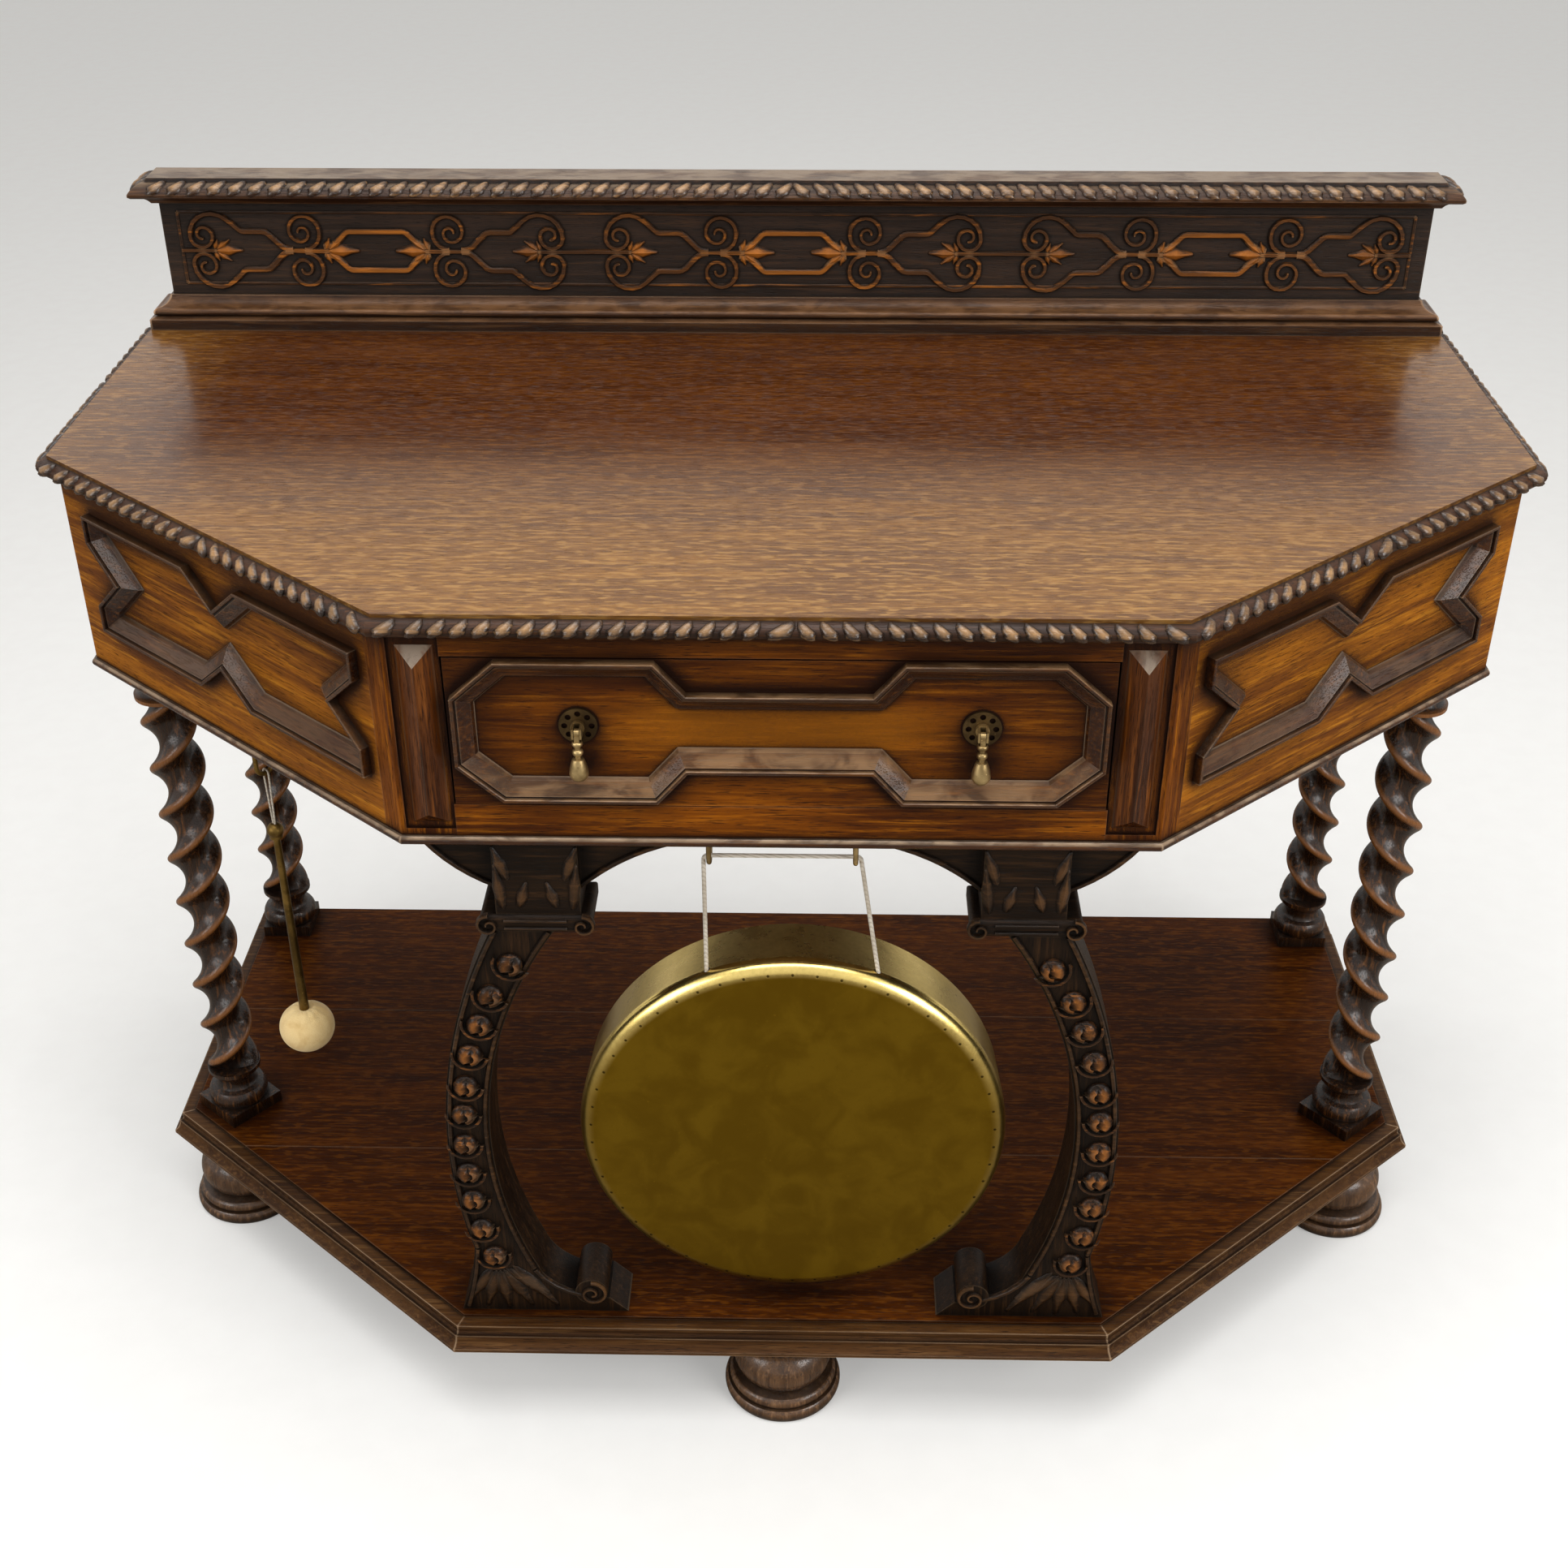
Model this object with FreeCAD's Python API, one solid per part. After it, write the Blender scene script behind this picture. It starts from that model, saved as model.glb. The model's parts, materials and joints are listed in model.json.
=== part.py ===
import FreeCAD, Part
import math
import os

Vector = FreeCAD.Vector
UP = Vector(0, 0, 1)
ORIGIN = Vector(0, 0, 0)
RIGHT = Vector(1, 0, 0)
FORWARD = Vector(0, -1, 0)

# A canted oak serving table with a carved gallery, a drawer and a hanging gong.
# Millimetres. The front faces -Y and the feet stand on Z = 0.

# Overall sizes
TABLE_WIDTH = 1214.0            # across the edge moulding of the top
TABLE_DEPTH = 624.0             # from the back plane to the front of that moulding
TOP_HEIGHT = 800.0              # floor to the top surface
FRONT_WIDTH = 562.0             # straight front of the top board
END_LENGTH = 341.0              # straight end of the top board, from the back plane

# Top board and its carved edge
TOP_THICKNESS = 16.0
EDGE_OVERHANG = 13.0
EDGE_FILLET = 1.5               # board arris left showing above the moulding

# Gallery at the back of the top
GALLERY_END_INSET = 21.0        # panel ends inside the top board's ends
GALLERY_THICKNESS = 28.0
GALLERY_HEIGHT = 113.0
GALLERY_BASE_HEIGHT = 28.0
GALLERY_BASE_REACH = 20.0
CAP_HEIGHT = 23.0
CAP_REACH = 21.0
GALLERY_DOWEL_RADIUS = 4.0
GALLERY_DOWEL_LENGTH = 20.0
GALLERY_DOWELS = 4
GALLERY_DOWEL_INSET = 73.0      # outer dowels from the panel ends

# Frieze
FRIEZE_SETBACK = 6.0            # from the top board's edge
FRIEZE_HEIGHT = 177.0
FRIEZE_THICKNESS = 18.0
RAIL_DEPTH = 40.0
TOP_RAIL_HEIGHT = 20.0
BOTTOM_RAIL_HEIGHT = 34.2
POST_WIDTH = 40.8               # front face of each front post
POST_CANT = 18.0                # part of the cant face that belongs to the front post
BEAD_HEIGHT = 7.0
BEAD_REACH = 4.0

# Hipped blocks on the front posts
HIP_WIDTH = 27.0
HIP_RISE = 10.0                 # ridge height above the frieze face
HIP_SLOPE = 13.0                # length of the sloping hip at each end
RECESS_DEPTH = 2.0
RECESS_MARGIN = 4.0             # post left standing beside the recess
RECESS_FOOT = 13.0              # recess floor starts this far above the frieze bottom
HIP_FOOT_GAP = 5.0
HIP_TOP_GAP = 12.0

# Mouldings in the canted panels, each round a sunk field
CANT_FRAME_FRONT_GAP = 28.0     # frame to the front corner
CANT_FRAME_REAR_GAP = 36.0      # frame to the wide corner
CANT_FRAME_FOOT_GAP = 48.0      # frame above the frieze bottom
CANT_FRAME_TOP_GAP = 25.0
CANT_THROAT = 52.0              # between the points of the notches above and below
CANT_LONG_NOTCH = 33.0          # half width of those notches
CANT_END_LAND = 24.0            # straight end edges above and below the end notches
CANT_END_PITCH = 8.0 / 7.0      # depth of an end notch for its half width
MOULDING_WIDTH = 16.0
MOULDING_HEIGHT = 13.0          # field to the outer arris
FIELD_DEPTH = 5.0               # field below the face round the moulding
FIELD_OVERCUT = 1.0             # cutter of the field above that face

# Drawer
DRAWER_SIDE_GAP = 1.5
DRAWER_TOP_GAP = 1.0
RUNNER_GAP = 0.5
DRAWER_FRONT_THICKNESS = 22.0
DRAWER_WALL = 10.0
DRAWER_LENGTH = 400.0           # side length behind the drawer front
DRAWER_BOTTOM = 6.0
DRAWER_BOTTOM_LIFT = 8.0
SIDE_TOP_DROP = 3.0             # side edges below the top of the drawer front
LOBE_END_GAP = 3.5              # drawer moulding: lobe ends inside the drawer front
LOBE_TOP_GAP = 3.15
LOBE_LIFT = 2.4                 # moulding above the middle of the drawer front
LOBE_END_HALF = 28.0
LOBE_CORNER_RUN = 33.0          # long sides start this far inside the lobe ends
WAIST_HALF_LENGTH = 66.0
WAIST_HALF_HEIGHT = 32.0
WAIST_CORNER_RUN = 22.0
RUNNER_WIDTH = 36.0
RUNNER_HEIGHT = 16.0
GUIDE_WIDTH = 12.0
GUIDE_HEIGHT = 20.0

# Drop handles
PULL_LIFT = 4.4                 # above the middle of the drawer front
ROSETTE_RADIUS = 14.0
ROSETTE_THICKNESS = 2.0
ROSETTE_HOLES = 8
ROSETTE_HOLE_RADIUS = 2.2
ROSETTE_HOLE_RING = 9.8
STUD_RADIUS = 5.0
STUD_LENGTH = 3.5
FORK_LENGTH = 9.0               # cheeks beyond the stud
FORK_HEIGHT = 8.0
FORK_WALL = 1.6
EYE_WIDTH = 3.6
EYE_SIDE_GAP = 0.3
EYE_RADIUS = 3.0
PIVOT_RADIUS = 1.2
PIVOT_CLEARANCE = 0.05
DROP_LENGTH = 40.0              # pivot to the tip
DROP_RADIUS = 7.0

# Legs
FRONT_LEG_INSET = (53.0, 15.0)  # axis inside the wide corner, across and to the back
BACK_LEG_INSET = (36.0, 27.5)   # axis inside the board's end and the back plane
FRONT_PLINTH = 56.0
BACK_PLINTH = 50.0
PLINTH_HEIGHT = 12.0
TWIST_CREST = 24.0
TWIST_WAIST = 12.0
TWIST_TIP_RADIUS = 8.0
TWIST_LEAD = 96.0
TWIST_ROOT = 2.0                # twist let into the turned ends
LEG_FOOT_TURNING = 40.0
LEG_CAP_TURNING = 34.0
LEG_CAP_RADIUS = 28.0
PIN_RADIUS = 7.0
PIN_LENGTH = 16.0               # in the blocks of the frieze
SHELF_PIN_LENGTH = 9.0
PIN_CLEARANCE = 0.2
PIN_END_GAP = 1.0
CORNER_BLOCK = 70.0
CORNER_BLOCK_HEIGHT = 60.0
GLUE_BLOCK = (22.0, 60.0, 22.0)

# Shelf and feet
SHELF_THICKNESS = 24.0
SHELF_BOARD_INSET = 10.0        # boards end this far inside the top board's outline
SHELF_JOINTS = (180.0, 390.0)   # board joints, from the back plane
SHELF_FLARE = 11.0
SHELF_LIP_DROP = 2.0            # top of the edge moulding below the boards
FOOT_HEIGHT = 84.0
FOOT_RADIUS = 52.0
SIDE_FOOT_INSET = (51.0, 5.0)   # axis inside the wide corner, across and to the back
BACK_FOOT_INSET = (51.0, 58.0)  # axis inside the board's end and the back plane

# Gong brackets, measured outwards from the middle of the table
BRACKET_SETBACK = 30.0          # front face behind the front of the table
BRACKET_THICKNESS = 44.0
BRACKET_TOE_IN = 134.0
BRACKET_TOE_OUT = 279.0
BRACKET_ANKLE = (209.0, 263.0)  # inner and outer edge above the foot
BRACKET_BELLY = (239.0, 275.0)
BRACKET_NECK = (174.0, 223.0)
BRACKET_ANKLE_LIFT = (52.0, 74.0)
BRACKET_FOOT_HEIGHT = 16.0
BRACKET_INSTEP = 186.0
VOLUTE_X = 165.0
VOLUTE_RADIUS = 14.0
VOLUTE_PROUD = 2.0
COLLAR = (144.0, 230.0)
COLLAR_HEIGHT = 16.0
COLLAR_PROUD = 3.0
CAPITAL = (152.0, 217.0)
CAPITAL_HEIGHT = 72.0
SPANDREL_THICKNESS = 20.0
SPANDREL_TIPS = (77.0, 270.0)
SPANDREL_TIP_HEIGHT = 14.0
SPANDREL_ROOT_HEIGHT = 56.0

# Gong, its cord and hooks
GONG_SHIFT = 9.0                # gong hangs a little to the right of the middle
GONG_RADIUS = 176.0
GONG_DEPTH = 60.0
GONG_WALL = 2.0
GONG_EDGE_RADIUS = 12.0
GONG_TAPER = 3.0
GONG_SETBACK = 39.0             # face behind the front of the table
GONG_SHELF_GAP = 21.0           # lowest point above the shelf
GONG_HOLE_X = 70.0
GONG_HOLE_RADIUS = 2.6
HOOK_SPREAD = 111.0
HOOK_SHIFT = 1.0                # middle of the pair, right of the table's middle
HOOK_DROP = 35.0                # hook wire below the frieze
HOOK_WIRE = 4.0
HOOK_BEND = 8.0
HOOK_TIP = 6.0
CORD = 3.5
CORD_LOOSE = 0.8                # slack between a cord and its hook
KNOT_RADIUS = 4.5
KNOT_GAP = 0.2

# Beater
BEATER_HOOK_RUN = 200.0         # along the left cant, from the front corner
BEATER_HOOK_DROP = 30.0
STRING = 1.6
STRING_FOOT_HALF = 1.2          # half the spread of the strands on the finial
STRING_DROP = 49.0              # hook wire to the top of the finial
FINIAL_RADIUS = 7.0
ROD_TOP_RADIUS = 3.0
ROD_FOOT_RADIUS = 4.2
ROD_LENGTH = 192.0
ROD_SOCKET = 14.0
ROD_CLEARANCE = 0.1
HEAD_RADIUS = 24.5
HEAD_HALF_HEIGHT = 23.0
HEAD_DIMPLE_RADIUS = 10.0
HEAD_DIMPLE = 3.0

# Levels and places that follow from the sizes above
BACK = TABLE_DEPTH / 2
FRONT = BACK - TABLE_DEPTH
BOARD_HALF = TABLE_WIDTH / 2 - EDGE_OVERHANG
BOARD_FRONT = FRONT + EDGE_OVERHANG
GALLERY_HALF = BOARD_HALF - GALLERY_END_INSET
FRONT_CORNER = Vector(FRONT_WIDTH / 2, BOARD_FRONT, 0)
WIDE_CORNER = Vector(BOARD_HALF, BACK - END_LENGTH, 0)
CANT_RUN = (WIDE_CORNER - FRONT_CORNER).normalize()
CANT_OUT = Vector(CANT_RUN.y, -CANT_RUN.x, 0)
FRIEZE_TOP = TOP_HEIGHT - TOP_THICKNESS
FRIEZE_BOTTOM = FRIEZE_TOP - FRIEZE_HEIGHT
FRIEZE_FRONT = BOARD_FRONT + FRIEZE_SETBACK
SHELF_TOP = FOOT_HEIGHT + SHELF_THICKNESS
LEG_LENGTH = FRIEZE_BOTTOM - SHELF_TOP
OPENING_HALF = FRONT_CORNER.x - FRIEZE_SETBACK * (1 - CANT_RUN.x) / CANT_RUN.y - POST_WIDTH
OPENING_BOTTOM = FRIEZE_BOTTOM + BOTTOM_RAIL_HEIGHT
OPENING_TOP = FRIEZE_TOP - TOP_RAIL_HEIGHT
DRAWER_HALF = OPENING_HALF - DRAWER_SIDE_GAP
DRAWER_FLOOR = OPENING_BOTTOM + RUNNER_GAP
DRAWER_CEILING = OPENING_TOP - DRAWER_TOP_GAP
DRAWER_MIDDLE = (DRAWER_FLOOR + DRAWER_CEILING) / 2
DRAWER_FRONT_BACK = FRIEZE_FRONT + DRAWER_FRONT_THICKNESS
LOBE_FAR = DRAWER_HALF - LOBE_END_GAP
LOBE_FAR_SHOULDER = LOBE_FAR - LOBE_CORNER_RUN
LOBE_NEAR_SHOULDER = WAIST_HALF_LENGTH + WAIST_CORNER_RUN
LOBE_HALF_HEIGHT = (DRAWER_CEILING - DRAWER_FLOOR) / 2 - LOBE_TOP_GAP
PULL_X = (LOBE_NEAR_SHOULDER + LOBE_FAR_SHOULDER) / 2
PULL_Z = DRAWER_MIDDLE + PULL_LIFT
FIELD_FRONT = FRIEZE_FRONT + FIELD_DEPTH
BRACKET_FRONT = FRONT + BRACKET_SETBACK
PULL_PIVOT_REACH = ROSETTE_THICKNESS + STUD_LENGTH + FORK_LENGTH - EYE_RADIUS
GONG_BALANCE = GONG_DEPTH ** 2 / (GONG_RADIUS + 2 * GONG_DEPTH)
HOOK_Y = FRONT + GONG_SETBACK + GONG_BALANCE
HOOK_Z = FRIEZE_BOTTOM - HOOK_DROP
CORD_TURN = HOOK_WIRE / 2 + CORD / 2 + CORD_LOOSE
STRING_TURN = HOOK_WIRE / 2 + STRING / 2 + CORD_LOOSE


def box(x0, x1, y0, y1, z0, z1):
    """Block between two opposite corners."""
    return Part.makeBox(x1 - x0, y1 - y0, z1 - z0, Vector(x0, y0, z0))


def rod(radius, foot, top):
    """Cylinder between two points."""
    axis = top - foot
    return Part.makeCylinder(radius, axis.Length, foot, axis)


def mirrored(shape):
    """Copy of a shape on the other side of the middle plane."""
    return shape.mirror(ORIGIN, RIGHT)


def closed_wire(start, steps, lift):
    """Closed wire from (u, v) points; a step of two points is an arc through the first."""
    edges = []
    here = start
    for step in list(steps) + [start]:
        if isinstance(step[0], tuple):
            middle, end = step
            edges.append(Part.Arc(lift(*here), lift(*middle), lift(*end)).toShape())
        else:
            end = step
            edges.append(Part.LineSegment(lift(*here), lift(*end)).toShape())
        here = end
    return Part.Wire(edges)


def turned(start, steps):
    """Solid of revolution about Z from a half profile of (radius, height) points."""
    wire = closed_wire(start, steps, lambda u, v: Vector(u, 0, v))
    return Part.Face(wire).revolve(ORIGIN, UP, 360)


def prism(points, z0, z1):
    """Vertical prism over a plan polygon."""
    corners = [Vector(x, y, z0) for x, y in points]
    return Part.Face(Part.makePolygon(corners + corners[:1])).extrude(UP * (z1 - z0))


def outline(offset):
    """Six plan corners of the table, offset outwards from the top board's edge."""
    point = FRONT_CORNER + CANT_OUT * offset
    front_y = FRONT_CORNER.y - offset
    front_x = point.x + (front_y - point.y) / CANT_RUN.y * CANT_RUN.x
    end_x = WIDE_CORNER.x + offset
    end_y = point.y + (end_x - point.x) / CANT_RUN.x * CANT_RUN.y
    right = [(front_x, front_y), (end_x, end_y), (end_x, BACK)]
    return [(-x, y) for x, y in reversed(right)] + right


def gallery_outline(offset):
    """Four plan corners of the gallery panel, offset outwards."""
    half = GALLERY_HALF + offset
    front = BACK - GALLERY_THICKNESS - offset
    return [(-half, BACK), (-half, front), (half, front), (half, BACK)]


def mitred_strips(corners, start, steps, inner, outer):
    """Strips of one section, (offset, height), along an open outline, mitred where they meet."""
    strips = []
    near, base, far = corners(inner), corners(0.0), corners(outer)
    for i in range(len(base) - 1):
        first, last = Vector(*base[i], 0), Vector(*base[i + 1], 0)
        run = (last - first).normalize()
        out = Vector(run.y, -run.x, 0)
        tail = first - run * TABLE_DEPTH
        wire = closed_wire(start, steps, lambda u, v: tail + out * u + UP * v)
        bar = Part.Face(wire).extrude(run * ((last - first).Length + 2 * TABLE_DEPTH))
        wedge = prism([near[i], near[i + 1], far[i + 1], far[i]], 0, 2 * TOP_HEIGHT)
        strips.append(bar.common(wedge).Solids[0])
    return strips


def offset_loop(points, inset):
    """Closed polygon, counter-clockwise, moved inwards."""
    moved = []
    for i, here in enumerate(points):
        before, after = points[i - 1], points[(i + 1) % len(points)]
        run_in = Vector(here[0] - before[0], here[1] - before[1], 0).normalize()
        run_out = Vector(after[0] - here[0], after[1] - here[1], 0).normalize()
        side = Vector(-run_in.y, run_in.x, 0) + Vector(-run_out.y, run_out.x, 0)
        scale = 2 * inset / side.dot(side)
        moved.append((here[0] + side.x * scale, here[1] + side.y * scale))
    return moved


def solid_from_faces(faces):
    """Closed solid from planar corner lists."""
    shell = Part.makeShell([Part.Face(Part.makePolygon(c + c[:1])) for c in faces])
    shell.sewShape()
    solid = Part.Solid(shell)
    if solid.Volume < 0:
        solid.reverse()
    return solid


def sunk_field(loop, lift):
    """Cutter for the field that a moulding stands in: the loop's prism from the field up past the face."""
    floor = [lift(u, v, -FIELD_DEPTH) for u, v in loop]
    rise = lift(*loop[0], FIELD_OVERCUT) - floor[0]
    return Part.Face(Part.makePolygon(floor + floor[:1])).extrude(rise)


def frame_moulding(loop, lift):
    """Moulding round the field inside a closed loop: high outer edge, long slope to the inside."""
    section = [
        (0.0, 0.0),
        (0.0, MOULDING_HEIGHT),
        (0.14 * MOULDING_WIDTH, MOULDING_HEIGHT),
        (0.22 * MOULDING_WIDTH, 0.82 * MOULDING_HEIGHT),
        (0.86 * MOULDING_WIDTH, 0.26 * MOULDING_HEIGHT),
        (MOULDING_WIDTH, 0.0),
    ]
    rings = [[lift(u, v, h - FIELD_DEPTH) for u, v in offset_loop(loop, inset)] for inset, h in section]
    faces = []
    for k, ring in enumerate(rings):
        other = rings[(k + 1) % len(rings)]
        for i in range(len(loop)):
            j = (i + 1) % len(loop)
            faces.append([ring[i], ring[j], other[j], other[i]])
    return solid_from_faces(faces)


def hook(place, away):
    """Screw hook hanging from the frieze; its bend lies under place and opens along away."""
    radius = HOOK_WIRE / 2
    centre = place + UP * HOOK_BEND
    shank_top = Vector(centre.x, centre.y, FRIEZE_BOTTOM + PIN_LENGTH) - away * HOOK_BEND
    shank_foot = centre - away * HOOK_BEND
    tip_foot = centre + away * HOOK_BEND
    path = Part.Wire([
        Part.LineSegment(shank_top, shank_foot).toShape(),
        Part.Arc(shank_foot, place, tip_foot).toShape(),
        Part.LineSegment(tip_foot, tip_foot + UP * HOOK_TIP).toShape(),
    ])
    profile = Part.Wire(Part.makeCircle(radius, shank_top, UP))
    wire = path.makePipeShell([profile], True, False)
    mouth = Vector(shank_foot.x, shank_foot.y, FRIEZE_BOTTOM)
    return wire.fuse(rod(2 * radius, mouth - UP * radius, mouth))


def hook_bore(place, away):
    """Clearance for a hook's screw in the wood above it."""
    shank = place - away * HOOK_BEND
    mouth = Vector(shank.x, shank.y, FRIEZE_BOTTOM)
    return rod(HOOK_WIRE / 2 + PIN_CLEARANCE, mouth, mouth + UP * (PIN_LENGTH + PIN_END_GAP))


def cord_over(hooks, left_end, right_end, turn, thickness, lift, name):
    """Taut cord from one end up over the hooks and down to the other end."""
    first, last = hooks[0], hooks[-1]
    legs = []
    for end, centre, side in ((left_end, first, 1), (right_end, last, -1)):
        du, dv = centre[0] - end[0], centre[1] - end[1]
        reach = math.hypot(du, dv)
        angle = math.atan2(dv, du) + side * math.asin(turn / reach)
        length = math.sqrt(reach ** 2 - turn ** 2)
        touch = (end[0] + length * math.cos(angle), end[1] + length * math.sin(angle))
        start_angle = math.atan2(touch[1] - centre[1], touch[0] - centre[0])
        if side > 0:
            start_angle %= 2 * math.pi
        half_angle = (start_angle + math.pi / 2) / 2
        half_way = (centre[0] + turn * math.cos(half_angle),
                    centre[1] + turn * math.sin(half_angle))
        legs.append((end, touch, half_way, (centre[0], centre[1] + turn)))
    (a0, a1, a2, a3), (b0, b1, b2, b3) = legs
    edges = [Part.LineSegment(lift(*a0), lift(*a1)).toShape(),
             Part.Arc(lift(*a1), lift(*a2), lift(*a3)).toShape()]
    if a3 != b3:
        edges.append(Part.LineSegment(lift(*a3), lift(*b3)).toShape())
    edges += [Part.Arc(lift(*b3), lift(*b2), lift(*b1)).toShape(),
              Part.LineSegment(lift(*b1), lift(*b0)).toShape()]
    path = Part.Wire(edges)
    profile = Part.Wire(Part.makeCircle(thickness / 2, lift(*a0), lift(*a1) - lift(*a0)))
    tube = path.makePipeShell([profile], True, False)
    plain = path.Length * math.pi * thickness ** 2 / 4
    ratio = tube.Volume / plain
    print(f"{name}: length {path.Length:.1f}, turn radius {turn:.2f}, volume ratio {ratio:.4f}")
    return tube


def top_and_gallery():
    """Top board, its edge moulding and the gallery that stands on it."""
    edge_top = TOP_HEIGHT - EDGE_FILLET
    widest = TOP_HEIGHT - 0.46 * TOP_THICKNESS
    edge = mitred_strips(outline, (0.0, FRIEZE_TOP), [
        (0.3 * EDGE_OVERHANG, FRIEZE_TOP),
        ((0.62 * EDGE_OVERHANG, FRIEZE_TOP + 0.14 * TOP_THICKNESS),
         (0.72 * EDGE_OVERHANG, FRIEZE_TOP + 0.36 * TOP_THICKNESS)),
        (EDGE_OVERHANG, widest),
        ((0.72 * EDGE_OVERHANG, edge_top - 0.1 * TOP_THICKNESS), (0.1 * EDGE_OVERHANG, edge_top)),
        (0.0, edge_top),
    ], 0.0, 2 * EDGE_OVERHANG)

    panel_top = TOP_HEIGHT + GALLERY_HEIGHT
    panel = prism(gallery_outline(0.0), TOP_HEIGHT, panel_top)
    board = prism(outline(0.0), FRIEZE_TOP, TOP_HEIGHT)
    dowels = []
    dowel_y = BACK - GALLERY_THICKNESS / 2
    half = GALLERY_DOWEL_LENGTH / 2
    outer = GALLERY_HALF - GALLERY_DOWEL_INSET
    for i in range(GALLERY_DOWELS):
        x = outer * (2 * i / (GALLERY_DOWELS - 1) - 1)
        foot, top = Vector(x, dowel_y, TOP_HEIGHT - half), Vector(x, dowel_y, TOP_HEIGHT + half)
        dowels.append(rod(GALLERY_DOWEL_RADIUS, foot, top))
        bore = rod(GALLERY_DOWEL_RADIUS + PIN_CLEARANCE, foot - UP * PIN_END_GAP, top + UP * PIN_END_GAP)
        panel = panel.cut(bore)
        board = board.cut(bore)

    base_top = TOP_HEIGHT + GALLERY_BASE_HEIGHT
    bead_foot = TOP_HEIGHT + 0.42 * GALLERY_BASE_HEIGHT
    bead_top = TOP_HEIGHT + 0.66 * GALLERY_BASE_HEIGHT
    base = mitred_strips(gallery_outline, (0.0, TOP_HEIGHT), [
        (GALLERY_BASE_REACH, TOP_HEIGHT),
        (GALLERY_BASE_REACH, TOP_HEIGHT + 0.34 * GALLERY_BASE_HEIGHT),
        (0.7 * GALLERY_BASE_REACH, bead_foot),
        ((0.82 * GALLERY_BASE_REACH, (bead_foot + bead_top) / 2), (0.6 * GALLERY_BASE_REACH, bead_top)),
        ((0.3 * GALLERY_BASE_REACH, TOP_HEIGHT + 0.76 * GALLERY_BASE_HEIGHT),
         (0.12 * GALLERY_BASE_REACH, base_top)),
        (0.0, base_top),
    ], 0.0, 2 * GALLERY_BASE_REACH)

    cap_top = panel_top + CAP_HEIGHT
    flare = mitred_strips(gallery_outline, (0.0, panel_top), [
        (0.25 * CAP_REACH, panel_top),
        ((0.5 * CAP_REACH, panel_top + 0.24 * CAP_HEIGHT),
         (0.9 * CAP_REACH, panel_top + 0.33 * CAP_HEIGHT)),
        (CAP_REACH, panel_top + 0.4 * CAP_HEIGHT),
        (CAP_REACH, panel_top + 0.5 * CAP_HEIGHT),
        ((0.72 * CAP_REACH, panel_top + 0.76 * CAP_HEIGHT),
         (0.36 * CAP_REACH, panel_top + 0.86 * CAP_HEIGHT)),
        (0.3 * CAP_REACH, cap_top),
        (0.0, cap_top),
    ], 0.0, 2 * CAP_REACH)
    cap = prism(gallery_outline(0.0), panel_top, cap_top).fuse(flare).removeSplitter()
    return {
        "top_board": board,
        "top_edge_moulding": Part.makeCompound(edge),
        "gallery_panel": panel,
        "gallery_dowels": Part.makeCompound(dowels),
        "gallery_base_moulding": Part.makeCompound(base),
        "gallery_cap": cap,
    }


def hip_block():
    """Applied block on the right front post: a vertical ridge with hipped ends."""
    floor_y = FRIEZE_FRONT + RECESS_DEPTH
    ridge_y = FRIEZE_FRONT - HIP_RISE
    inner = OPENING_HALF + RECESS_MARGIN
    middle, outer = inner + HIP_WIDTH / 2, inner + HIP_WIDTH
    foot = FRIEZE_BOTTOM + RECESS_FOOT + HIP_FOOT_GAP
    top = FRIEZE_TOP - HIP_TOP_GAP
    a, b = Vector(inner, floor_y, foot), Vector(outer, floor_y, foot)
    c, d = Vector(outer, floor_y, top), Vector(inner, floor_y, top)
    e, f = Vector(middle, ridge_y, foot + HIP_SLOPE), Vector(middle, ridge_y, top - HIP_SLOPE)
    return solid_from_faces([[a, b, c, d], [a, b, e], [b, c, f, e], [c, d, f], [d, a, e, f]])


def cant_frame():
    """Notched outline on the right canted panel, and the way from it to the panel's place."""
    corner, wide = (Vector(*point, 0) for point in outline(-FRIEZE_SETBACK)[3:5])
    length = ((wide - corner).Length - CANT_FRAME_FRONT_GAP - CANT_FRAME_REAR_GAP) / 2
    height = (FRIEZE_HEIGHT - CANT_FRAME_FOOT_GAP - CANT_FRAME_TOP_GAP) / 2
    middle = FRIEZE_BOTTOM + CANT_FRAME_FOOT_GAP + height
    end_half = height - CANT_END_LAND
    end_depth = CANT_END_PITCH * end_half
    quarter = [(length, -end_half), (length - end_depth, 0.0), (length, end_half), (length, height),
               (CANT_LONG_NOTCH, height), (0.0, CANT_THROAT / 2)]
    upper = quarter[1:] + [(-u, v) for u, v in reversed(quarter[1:5])]
    loop = upper[:-1] + [(end_depth - length, 0.0)] + [(u, -v) for u, v in reversed(upper[1:-1])]

    def lift(u, v, h):
        along = corner + CANT_RUN * (CANT_FRAME_FRONT_GAP + length + u) + CANT_OUT * h
        return along + UP * (middle + v)

    return loop, lift


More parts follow.
